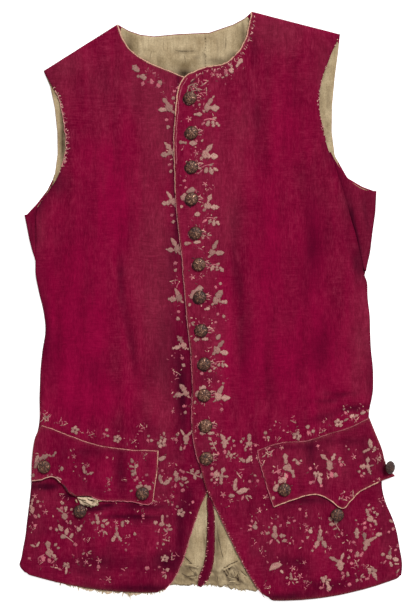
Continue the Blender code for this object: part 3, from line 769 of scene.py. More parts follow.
# The back: left edge x and y, right edge x and y, and how far its lining stops short of the sides.
back = {
    "rows": [
        (-226, 317, 174, 366, 3.0), (-217, 296, 172, 346, 1.6), (-211, 268, 167, 308, 1.6),
        (-207.5, 235, 163.5, 270, 1.6), (-207, 205, 163, 235, 1.6), (-211, 176, 167, 203, 2.0),
        (-221, 156, 184, 173, 3.0), (-235, 138, 204, 161, 5.0), (-249, 123, 220.5, 155, 8.0),
        (-246, 108, 219, 126, 9.0), (-242.5, 90, 215, 98, 9.0), (-238.5, 74, 212, 72, 9.0),
        (-236, 60, 208.5, 47, 9.0), (-227, 36, 203, 22, 9.0), (-222, 5, 205, -5, 8.0),
        (-218, -35, 208, -40, 8.0), (-223, -90, 211, -90, 8.0), (-224, -140, 206, -140, 8.0),
        (-231, -190, 216, -190, 8.0), (-236, -245, 222, -245, 8.0), (-241, -300, 240, -300, 8.0),
        (-242, -347, 247, -347, 8.0), (-238, -352, 246, -361, 8.0),
    ],
    "top": [
        (-226, 317), (-176, 348.5), (-126, 380), (-111, 371.5), (-95, 366), (-77, 364), (-45, 367),
        (-2, 369), (30, 380), (45, 388), (55, 397), (114, 382), (174, 366),
    ],
    "hem": [
        (-238, -352), (-182, -364), (-110, -372), (-54, -373), (0, -373), (60, -378), (120, -386),
        (180, -380), (246, -361),
    ],
    "wraps": [
        {"side": -1, "first": 8, "last": 12, "hollow": 2,
         "seam": [(-237.5, 133.5), (-237.6, 115), (-237.2, 96), (-236.6, 77), (-236.4, 62)]},
        {"side": 1, "first": 8, "last": 12, "hollow": 15,
         "seam": [(161, 207), (171, 178), (185, 134), (197, 93), (206.4, 49)]},
    ],
    "perRow": 8,
}


def cornered(points, perSpan):
    # straight runs between given points, each cut into as many equal parts
    p = np.asarray(points, float)
    at = np.linspace(0, len(p) - 1, (len(p) - 1) * perSpan + 1)
    return np.column_stack([np.interp(at, np.arange(len(p)), column) for column in p.T])


# soft folds where the side pieces have been pulled round
wrapCreases = [
    (186, 160, 204, 70, 3, 3.5, -1.0, 0), (196, 150, 210, 80, 2, 4, 1.0, 0),
    (206, 150, 213, 100, 2, 3, -0.6, 0),
    (178, 178, 190, 130, 1, 3, 0.7, 0), (-243, 126, -240, 80, 1, 1.8, -0.7, 0),
]


def wrapGrid(edge, wrap):
    # from the edge on the surface, a half circle round the side, then level to the seam; the armhole
    # edge hangs hollow between its ends
    step = back["perRow"]
    fold = edge[wrap["first"] * step : wrap["last"] * step + 1]
    seam = evenCurve(wrap["seam"], len(fold))
    angle = np.radians(np.linspace(0, 180, 13))[None]
    roll = layersAt["sideRoll"]
    taper = 1 - 0.75 * smooth((np.linspace(0, 1, len(fold))[:, None] - 0.7) / 0.3)
    out = fold[:, 0:1] + wrap["side"] * roll * np.sin(angle) * taper
    up = roll * (1 - np.cos(angle)) + 0 * out
    share = np.linspace(0, 1, 13)[None, 1:]
    across = fold[:, 0:1] * (1 - share) + seam[:, 0:1] * share
    lengthways = fold[:, 1:2] * (1 - share) + seam[:, 1:2] * share
    hollow = wrap["hollow"] * np.linspace(1, 0, len(fold))[:, None] ** 2
    lengthways = lengthways - hollow * 4 * share * (1 - share)
    soft = creaseHeight(across, lengthways, wrapCreases) + 0.25 * ripples(across, lengthways, 12, 22)
    eased = np.sin(math.pi * np.linspace(0.1, 0.9, len(fold)))[:, None]
    level = 2 * roll + soft * np.sin(math.pi * share) * eased
    tuck = seam[:, 0:1] - wrap["side"] * np.array([[0.7, 2.5, 4.5]])
    x = np.hstack([out, across, tuck])
    y = np.hstack([fold[:, 1:2] + 0 * out, lengthways, seam[:, 1:2] + 0 * tuck])
    return np.dstack([x, y, np.hstack([up, level, level[:, -1:] - [[0.7, 1.3, 1.5]]])])


def makeBack():
    rows = cornered(back["rows"], back["perRow"])
    left, right = rows[:, 0:2], rows[:, 2:4]
    top = cornered(back["top"], 5)
    plan = coonsGrid(top, evenCurve(back["hem"], len(top)), left, right)
    flat = np.dstack([plan, np.zeros(plan.shape[:2])])
    wraps = [wrapGrid(left, back["wraps"][0]), wrapGrid(right, back["wraps"][1])]
    grids = [flat, *wraps]
    layers = {
        "fade": [np.full(grid.shape[:2], 0.45) for grid in grids],
        "glow": [np.full(grid.shape[:2], 0.1) for grid in grids],
        "shade": [0 * flat[..., 0], *[wrapShade(grid) for grid in wraps]],
    }
    piece = makeSheet("silk_back", grids, silk, layersAt["silkWall"], -1, layers)
    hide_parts("back")
    return piece


def wrapShade(grid):
    # painted shade: darker round the fold, along the seam where the cloth turns down, and in the folds'
    # troughs
    share = np.linspace(0, 1, grid.shape[1])[None] * np.ones(grid.shape[:2])
    rise = creaseHeight(grid[..., 0], grid[..., 1], wrapCreases)
    shade = 0.2 + 0.3 * smooth((share - 0.7) / 0.2) + 0.3 * np.exp(-((share - 0.3) / 0.12) ** 2)
    return shade - 0.5 * np.clip(rise, -1, 0)


silkBack = makeBack()

lining = {
    "hem": [
        (-230, -350), (-182, -360), (-110, -366), (-60, -376), (-9, -376), (18, -378.5), (46, -384),
        (62, -383), (120, -379), (180, -372), (238, -354),
    ],
    "neckInset": 1.2,
    "shoulderInset": 9.0,
    "creases": [
        (-64, 362, -66, 318, 2, 3, 0.9, 0), (-67, 362, -70, 318, 2, 2, -0.7, 0),
        (-50, 342, -18, 343, 1, 2.5, -0.9, 0),
        (-50, 346, -20, 347, 1, 3, 0.8, 0), (-88, 352, -60, 345, 2, 4, 0.6, 0),
        (-26, 340, -34, 312, 3, 4, 0.8, 0),
        (5, 365, -4, 330, 2, 5, 0.6, 0), (-7, 366, -8, 300, 1, 1.6, -0.7, 0),
        (-9.5, 366, -10.5, 300, 1, 1.6, 0.5, 0),
        (10, 364, 9, 334, 1, 1.6, -0.5, 0), (-100, 366, -88, 336, 2, 3, 0.8, 0),
        (-30, 334, -8, 340, 2, 2, -0.8, 0),
        (-12, 342, -4, 334, 1, 2, -0.7, 0), (-96, 364, -88, 340, 1, 2, -0.6, 0),
        (20, 366, 18, 340, 1, 2, -0.4, 0),
        (-218, 270, -212, 200, 3, 3, 0.6, 0), (-211, 262, -206, 225, 2, 1.6, -0.5, 0),
        (163, 300, 158, 260, 2, 2, -0.6, 0), (161, 280, 155, 240, -2, 2, -0.5, 0),
        (158, 252, 162, 215, 1, 2, -0.4, 0),
        (10, -285, 12, -352, 2, 2.5, -1.0, 0), (5, -300, 8, -350, 1, 3, 0.7, 0),
        (14, -354, 40, -340, 2, 2, 1.2, 0.3),
        (16, -358, 42, -344, 2, 2, -0.9, 0), (-40, -350, -16, -350, -2, 2, 1.0, 0),
        (-38, -353, -16, -354, -2, 2, -0.9, 0),
        (-37, -336, -22, -350, 2, 1.8, -0.9, 0), (-27, -300, -24, -338, 2, 2.5, -0.6, 0),
        (-20, -290, -19, -340, 1, 2.5, 0.6, 0),
        (20, -360, 32, -376, 2, 2, -1.0, 0), (30, -356, 50, -370, 2, 2.5, 1.0, 0),
        (32, -360, 48, -375, 3, 2, -1.0, 0),
        (-34, -368, -14, -362, 2, 2.5, -0.9, 0), (24, -310, 30, -340, 1, 3, 0.5, 0),
        (-30, -362, -12, -372, 1, 2, 0.8, 0),
    ],
    "fade": [
        (-36, 326, 26, 9, 0.8), (-110, 360, 10, 22, 0.8), (40, 364, 9, 26, 0.7), (-68, 324, 6, 16, 0.5),
        (-34, 345, 18, 4, 0.5), (0, -370, 70, 8, 0.5), (12, -318, 5, 40, 0.4), (-22, -356, 16, 12, 0.4),
        (-200, 250, 4, 50, 0.7), (-212, 295, 8, 16, 0.5), (-95, 345, 20, 5, 0.5), (-60, 360, 60, 3, 0.2),
        (20, 330, 20, 8, 0.4),
        (153, 280, 4, 60, 0.4), (158, 230, 6, 20, 0.4),
    ],
    # spots of painted shade: shadows beside the fronts' edges and in the folds
    "shade": [
        (-36, 313, 15, 7, 0.9), (-96, 330, 14, 5, 0.5), (-112, 348, 6, 12, 0.5), (12, 330, 22, 5, 0.5),
        (-68, 317, 14, 5, 0.5),
        (0, -378, 60, 3, 0.3), (36, -362, 4, 8, 0.4), (22, -356, 5, 4, 0.4), (4, -355, 3, 5, 0.5),
        (44, 362, 3.5, 22, 0.5),
        (-36, -352, 6, 4, 0.4), (-199.5, 240, 3.2, 45, 0.55), (-199, 205, 3, 30, 0.5), (30, 338, 8, 5, 0.5),
        (7, -320, 1.8, 40, 0.6),
        (-8, -320, 1.8, 40, 0.5), (-12, -360, 3, 16, 0.4), (147, 280, 3, 40, 0.3),
    ],
    "flat": (0.47, 0.77),
}


def makeLining():
    # linen over the back, crumpled where it shows at the vent
    rows = cornered(back["rows"], back["perRow"])
    inset = np.where(rows[:, 1] > 170, 0.3, rows[:, 4])
    left = rows[:, 0:2] + np.column_stack([inset, 0 * inset])
    right = rows[:, 2:4] - np.column_stack([inset, 0 * inset])
    top = cornered(back["top"], 12)
    neck = (top[:, 0] > -122) & (top[:, 0] < 50)
    top[:, 1] -= np.where(neck, lining["neckInset"], lining["shoulderInset"])
    top[:, 0] = np.clip(top[:, 0], -221, 170)
    hem = evenCurve(lining["hem"], len(top))
    hem[:, 1] += 1.3 * ripples(hem[:, 0], 0 * hem[:, 0], 21, 9) * (np.abs(hem[:, 0]) < 66)
    sides = []
    for line, start, end in ((left, top[0], hem[0]), (right, top[-1], hem[-1])):
        between = line[(line[:, 1] < start[1] - 2) & (line[:, 1] > end[1] + 2)]
        line = np.vstack([start, between, end])
        want = np.linspace(0, runAlong(line)[-1], 190)
        sides.append(np.column_stack([np.interp(want, runAlong(line), column) for column in line.T]))
    plan = coonsGrid(top, hem, *sides)
    x, y = plan[..., 0], plan[..., 1]
    crumple = smooth((-345 - y) / 12) * np.exp(-((x / 62) ** 4))
    rise = creaseHeight(x, y, lining["creases"]) + 0.12 * ripples(x, y, 22, 30)
    rise = rise + crumple * (0.6 * np.abs(ripples(x, y, 23, 15)) + 0.35 * ripples(x, y, 24, 7))
    z = layersAt["liningTop"] + np.clip(rise, -0.6, 1.25)
    # painted shade: the table's spots, the low parts of the crumples and the creases' troughs
    shade = patches(x, y, lining["shade"]) + 0.42 * crumple * smooth((0.5 - rise) / 0.5)
    shade = shade + 0.5 * np.clip(-creaseHeight(x, y, lining["creases"]), 0, 1)
    aged = 0.14 * smooth((-250 - y) / 30) * smooth((y + 362) / 20)
    layers = {"fade": patches(x, y, lining["fade"]) + aged, "shade": np.clip(shade, 0, 0.9)}
    grid = np.dstack([x, y, z])
    piece = makeSheet("linen_back_lining", [grid], linen, layersAt["linenWall"], 1, layers)
    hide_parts("back_lining")
    return piece, surfaceOver(grid, cell=4.5, reach=4)


backLining, overLining = makeLining()

hemStrip = {
    "top": [(-212, -352), (-180, -361), (-140, -368), (-100, -372), (-64, -374)],
    "bottom": [(-208, -373), (-166, -384.5), (-128, -387.5), (-96, -390), (-60, -383)],
    "flat": (0.152, 0.024),
}


def makeHemStrip():
    # the front's own linen, torn along its lower edge and just showing below the silk
    upper, lower = evenCurve(hemStrip["top"], 110), evenCurve(hemStrip["bottom"], 110)
    across, level = lower[:, 0], 0 * lower[:, 0]
    tear = ripples(across, level, 31, 20) * 1.6 + np.abs(ripples(across, level, 32, 5)) * 1.3
    lower[:, 1] += np.clip(tear, -3, 4)
    v = np.linspace(0, 1, 20)[:, None]
    plan = coonsGrid(upper, lower, (1 - v) * upper[0] + v * lower[0], (1 - v) * upper[-1] + v * lower[-1])
    x, y = plan[..., 0], plan[..., 1]
    z = layersAt["stripTop"] + 0.25 * ripples(x, y, 33, 12) - 1.6 * v**2 * (0.6 + 0.4 * ripples(x, y, 34, 18))
    # painted shade in uneven patches
    layers = {"fade": [-0.55 + 0 * x], "shade": [np.clip(0.1 + 0.25 * ripples(x, y, 35, 14), 0, 0.6)]}
    grid = np.dstack([x, y, np.clip(z, 1.6, 4.1)])
    piece = makeSheet("linen_hem_strip", [grid], linen, 0.6, 1, layers)
    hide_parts("front_right_lining")
    return piece


linenHem = makeHemStrip()

facing = {
    "rows": [
        (2, -236, 8, 0.0), (-1, -262, 9, 0.3), (0, -284, 10, 1.8), (0, -304, 11, 2.2), (-1, -330, 12, 2.2),
        (-4, -350, 13, 2.0), (-10, -366, 14, 1.5), (-16, -378, 6, 0.8),
    ],
    "foot": 3.6,
    "flat": (0.0158, 0.146),
}


def makeFacing():
    # a low arch of silk down the middle of the back skirt: half an ellipse carried along its line
    rows = curveThrough(facing["rows"], np.linspace(0, len(facing["rows"]) - 1, 110))
    middle, breadth, crown = rows[:, 0:2], rows[:, 2:3], rows[:, 3:4]
    way = np.gradient(middle, axis=0)
    across = np.column_stack([way[:, 1], -way[:, 0]]) / np.hypot(*way.T)[:, None]
    u = np.linspace(-1, 1, 25)[None]
    edge = 0.22 * ripples(middle[:, 1:2] + 40 * np.sign(u), u * 0, 41, 9)
    plan = middle[:, None] - across[:, None] * ((breadth / 2 + edge) * u)[:, :, None]
    z = facing["foot"] + np.clip(crown, 0, 3) * np.sqrt(1 - (0.98 * u) ** 2) - 0.3 * np.abs(u) ** 6
    z = z + 0.18 * ripples(plan[..., 0] * 3, plan[..., 1], 42, 16)
    # the shade layer darkens the whole strip, and towards both edges adds painted shade
    shade = 0.2 * np.abs(u) ** 3 + 0.52 + 0 * z
    wear = 0.9 * np.exp(-((1 - np.abs(u)) * breadth / 2) / 0.9) + 0 * z
    layers = {"shade": [shade], "wear": [wear], "glow": [0.35 + 0 * z]}
    piece = makeSheet("silk_vent_facing", [np.dstack([plan, z])], silk, 0.7, 1, layers)
    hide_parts("vent_facing")
    return piece, surfaceOver(np.dstack([plan, z]), cell=1.0)


ventFacing, overFacing = makeFacing()
print("back, lining, hem and vent made")

flapRight = {
    "top": [(-228, -160), (-212, -165), (-184, -176), (-155, -186), (-131, -190), (-105, -193), (-71, -194)],
    "bottom": [
        (-242, -236), (-229, -234), (-213, -230), (-200, -240), (-186, -255), (-164, -256), (-147, -262),
        (-117, -263), (-100, -265), (-86, -268), (-78, -264),
    ],
    "left": [(-228, -160), (-237, -178), (-241, -205), (-242, -236)],
    "right": [(-71, -194), (-72, -220), (-76, -247), (-78, -264)],
    "flat": (0.17, 0.10),
    "glow": [(-150, -222, 40, 24, 0.5)],
    "fade": [(-90, -225, 30, 40, 0.3), (-235, -200, 12, 40, 0.5)],
    # spots of painted shade
    "shade": [
        (-200, -200, 8, 26, 0.35), (-120, -215, 7, 30, 0.2), (-160, -196, 30, 7, 0.25),
        (-150, -250, 20, 6, 0.2),
    ],
    "creases": [
        (-200, -182, -196, -240, 3, 6, 0.9, 0), (-170, -190, -168, -250, 2, 7, -0.7, 0),
        (-122, -196, -118, -258, 2, 8, -0.7, 0), (-140, -192, -136, -258, 2, 6, 0.7, 0),
        (-100, -198, -96, -260, 2, 7, 0.5, 0),
    ],
}
flapLeft = {
    "top": [(62, -194), (91, -184), (113, -182), (132, -180), (160, -171), (186, -163), (213, -150)],
    "bottom": [
        (84, -271), (105, -263), (136, -254), (156, -259), (176, -273), (188, -263), (201, -250),
        (229, -236), (248, -229),
    ],
    "left": [(62, -194), (65, -209), (74, -240), (84, -271)],
    "right": [(213, -150), (221, -170), (230, -192), (236, -214), (248, -229)],
    "flat": (0.18, 0.10),
    "glow": [(180, -210, 24, 24, 0.4), (120, -235, 20, 16, 0.4)],
    "fade": [(90, -210, 26, 20, 0.5), (215, -200, 20, 30, 0.5), (146, -212, 50, 30, 0.8)],
    # spots of painted shade
    "shade": [
        (136, -190, 8, 16, 0.3), (235, -215, 9, 12, 0.5), (180, -182, 30, 6, 0.3), (100, -190, 34, 4, 0.3),
    ],
    "creases": [
        (132, -184, 150, -250, 3, 7, -0.9, 0), (166, -176, 176, -262, 3, 8, 0.8, 0),
        (96, -190, 108, -256, 3, 8, 0.7, 0), (204, -166, 216, -236, 2, 7, -0.7, 0),
        (118, -186, 128, -250, 2, 6, 0.6, 0),
    ],
}


def flapGrid(flap, columns, rows):
    # a blend of its four edges, lying on the front: sunk into the seam at its top, and lifting a
    # little along its free edges
    upper, lower = evenCurve(flap["top"], columns), evenCurve(flap["bottom"], columns)
    plan = coonsGrid(upper, lower, evenCurve(flap["left"], rows), evenCurve(flap["right"], rows))
    x, y = plan[..., 0], plan[..., 1]
    v = np.linspace(0, 1, rows)[:, None] + 0 * x
    u = np.linspace(0, 1, columns)[None] + 0 * x
    ground = layersAt["frontTop"] + frontRelief(x, y) + lapRise(x, y)
    fromTop = v * 70
    fromSide = np.minimum(u, 1 - u) * 160
    fromFoot = (1 - v) * 75
    rolled = 0.4 * quarterRoll(np.minimum(fromSide, fromFoot), 1.8)
    lift = layersAt["flapLift"] * smooth((fromTop + 0.5) / 5) - rolled
    curl = 0.9 * np.exp(-fromFoot / 9) * (1 + 0.5 * ripples(x, y, 52, 30))
    soft = 1.5 * creaseHeight(x, y, flap["creases"]) * smooth(fromTop / 8) + 0.22 * ripples(x, y, 53, 16)
    z = ground + lift + curl * smooth(fromTop / 30) + np.clip(soft, -0.5, 1.4) * smooth(fromTop / 8)
    return np.dstack([x, y, z]), np.minimum(np.minimum(fromSide, fromFoot), fromTop), v


def makeFlap(name, node, flap):
    grid, fromEdge, v = flapGrid(flap, columns=130, rows=70)
    x, y = grid[..., 0], grid[..., 1]
    layers = {
        "fade": patches(x, y, flap["fade"]),
        "glow": patches(x, y, flap["glow"]),
        # painted shade: the table's spots, under the seam along the top edge, and in the creases' troughs
        "shade": np.clip(0.12 + 1.2 * patches(x, y, flap["shade"]) + 0.35 * np.exp(-v * 70 / 3)
                         - 0.35 * np.clip(creaseHeight(x, y, flap["creases"]), -1, 0.4), 0, 0.8),
        "wear": np.exp(-fromEdge / 1.4) * 0.7,
    }
    piece = makeSheet(name, [grid], silk, layersAt["silkWall"], 1, layers)
    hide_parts(node)
    return piece, surfaceOver(flapGrid(flap, columns=300, rows=160)[0])


silkFlapRight, overFlapRight = makeFlap("silk_flap_right", "flap_right", flapRight)
silkFlapLeft, overFlapLeft = makeFlap("silk_flap_left", "flap_left", flapLeft)

tornPatch = {
    "top": [(-180, -257.2), (-164, -257.6), (-152, -261.6)],
    "bottom": [(-176, -266), (-163, -270), (-152, -268)],
    "flat": (0.030, 0.0105),
}


def makeTornPatch():
    # a scrap of the flap's linen, folded out below its torn edge
    upper, lower = evenCurve(tornPatch["top"], 40), evenCurve(tornPatch["bottom"], 40)
    lower[:, 1] += 0.8 * ripples(lower[:, 0], 0 * lower[:, 0], 61, 5)
    v = np.linspace(0, 1, 18)[:, None]
    plan = coonsGrid(upper, lower, (1 - v) * upper[0] + v * lower[0], (1 - v) * upper[-1] + v * lower[-1])
    x, y = plan[..., 0], plan[..., 1]
    z = layersAt["frontTop"] + frontRelief(x, y) + 1.6 + 0.5 * ripples(x, y, 62, 8)
    # painted shade in patches and darker towards its lower edge
    piece = makeSheet("linen_torn_patch", [np.dstack([x, y, z])], linen, 0.6, 1, {
        "shade": [np.clip(0.3 * ripples(x, y, 63, 6), 0, 0.5) + 0.5 * v**4], "fade": [-0.6 + 0 * x]})
    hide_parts("flap_right_lining")
    return piece


linenPatch = makeTornPatch()
print("flaps made")

buttonShape = {
    "radius": 8.75,
    "height": 5.6,
    "petals": 8,
    "cords": 40,
    "tilts": {"flap_right_button_1": -8, "flap_left_button_3": 40},
    # how much darker some buttons are drawn: painted shade where a button lies half hidden under cloth
    "dimmed": {"flap_right_button_2": 0.3, "flap_left_button_2": 0.2, "flap_left_button_3": 0.65},
}


def buttonGrid():
    # a dome turned about z: from the foot, round the rim and over the top; eight wound petals rise and
    # fall as the angle turns, crossed by rings, with a knot in the middle
    share = np.linspace(0, 1, 34)[:, None]
    angle = np.radians(np.linspace(0, 360, 72, endpoint=False))[None]
    outline = np.array([
        (0.0, 0.0), (0.35, 0.0), (0.42, 0.22), (0.90, 0.26), (1.0, 0.42), (0.94, 0.62), (0.74, 0.82),
        (0.45, 0.95), (0.2, 1.0), (0.0, 1.0),
    ])
    profile = curveThrough(outline, share[:, 0] * (len(outline) - 1))
    r, h = np.clip(profile[:, 0:1], 0, 1), profile[:, 1:2]
    onTop = smooth((share - 0.42) / 0.12)
    petal = np.abs(np.cos(angle * buttonShape["petals"] / 2 + r * 1.2)) ** 0.7
    ring = 0.5 + 0.5 * np.cos(r * 2 * math.pi * 2.6)
    basket = 0.5 + 0.5 * np.cos(angle * buttonShape["cords"]) * np.cos(r * 26)
    knot = np.exp(-((r / 0.16) ** 2))
    ridge = (0.5 * petal + 0.25 * ring * petal + 0.25 * basket) * (1 - knot) + knot
    # painted shade: the ridges drop off towards the rim
    ridge = ridge * (1 - 0.5 * r**6)
    radius = buttonShape["radius"] * r * (1 + 0.02 * np.cos(angle * 24) * onTop)
    z = buttonShape["height"] * h + onTop * (0.75 * (ridge - 0.6)) * np.clip(r * 4, 0.4, 1)
    x, y = radius * np.cos(angle), radius * np.sin(angle)
    return np.dstack([x + 0 * z, y + 0 * z, z]), ridge * onTop + 0.35 * (1 - onTop) + 0 * z


def makeButtons():
    grid, ridge = buttonGrid()
    faces = gridFaces(*grid.shape[:2], wrap=True)
    pieces = {}
    for node in sorted(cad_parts):
        if "button" not in node:
            continue
        low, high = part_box(node)
        centre = np.array((low + high) / 2) / mm
        tilt = math.radians(buttonShape["tilts"].get(node, 0))
        turn = rng.uniform(0, 6.28)
        x = grid[..., 0] * math.cos(turn) - grid[..., 1] * math.sin(turn)
        y = grid[..., 0] * math.sin(turn) + grid[..., 1] * math.cos(turn)
        z = grid[..., 2]
        c, s = math.cos(tilt), math.sin(tilt)
        points = np.dstack([x * c + z * s, y, z * c - x * s])
        middle = (points.reshape(-1, 3).min(0) + points.reshape(-1, 3).max(0)) / 2
        middle[2] = points[..., 2].min() + centre[2] - low[2] / mm
        points = points - middle + centre
        shine = ridge + 0.1 * rng.normal() - buttonShape["dimmed"].get(node, 0)
        layers = {"ridge": np.clip(shine, 0, 1).ravel()}
        pieces[node] = makePiece("metal_" + node, points.reshape(-1, 3), faces, metal, layers,
                                 merge=1e-5)
        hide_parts(node)
    return pieces


buttons = makeButtons()
print("buttons made:", len(buttons))

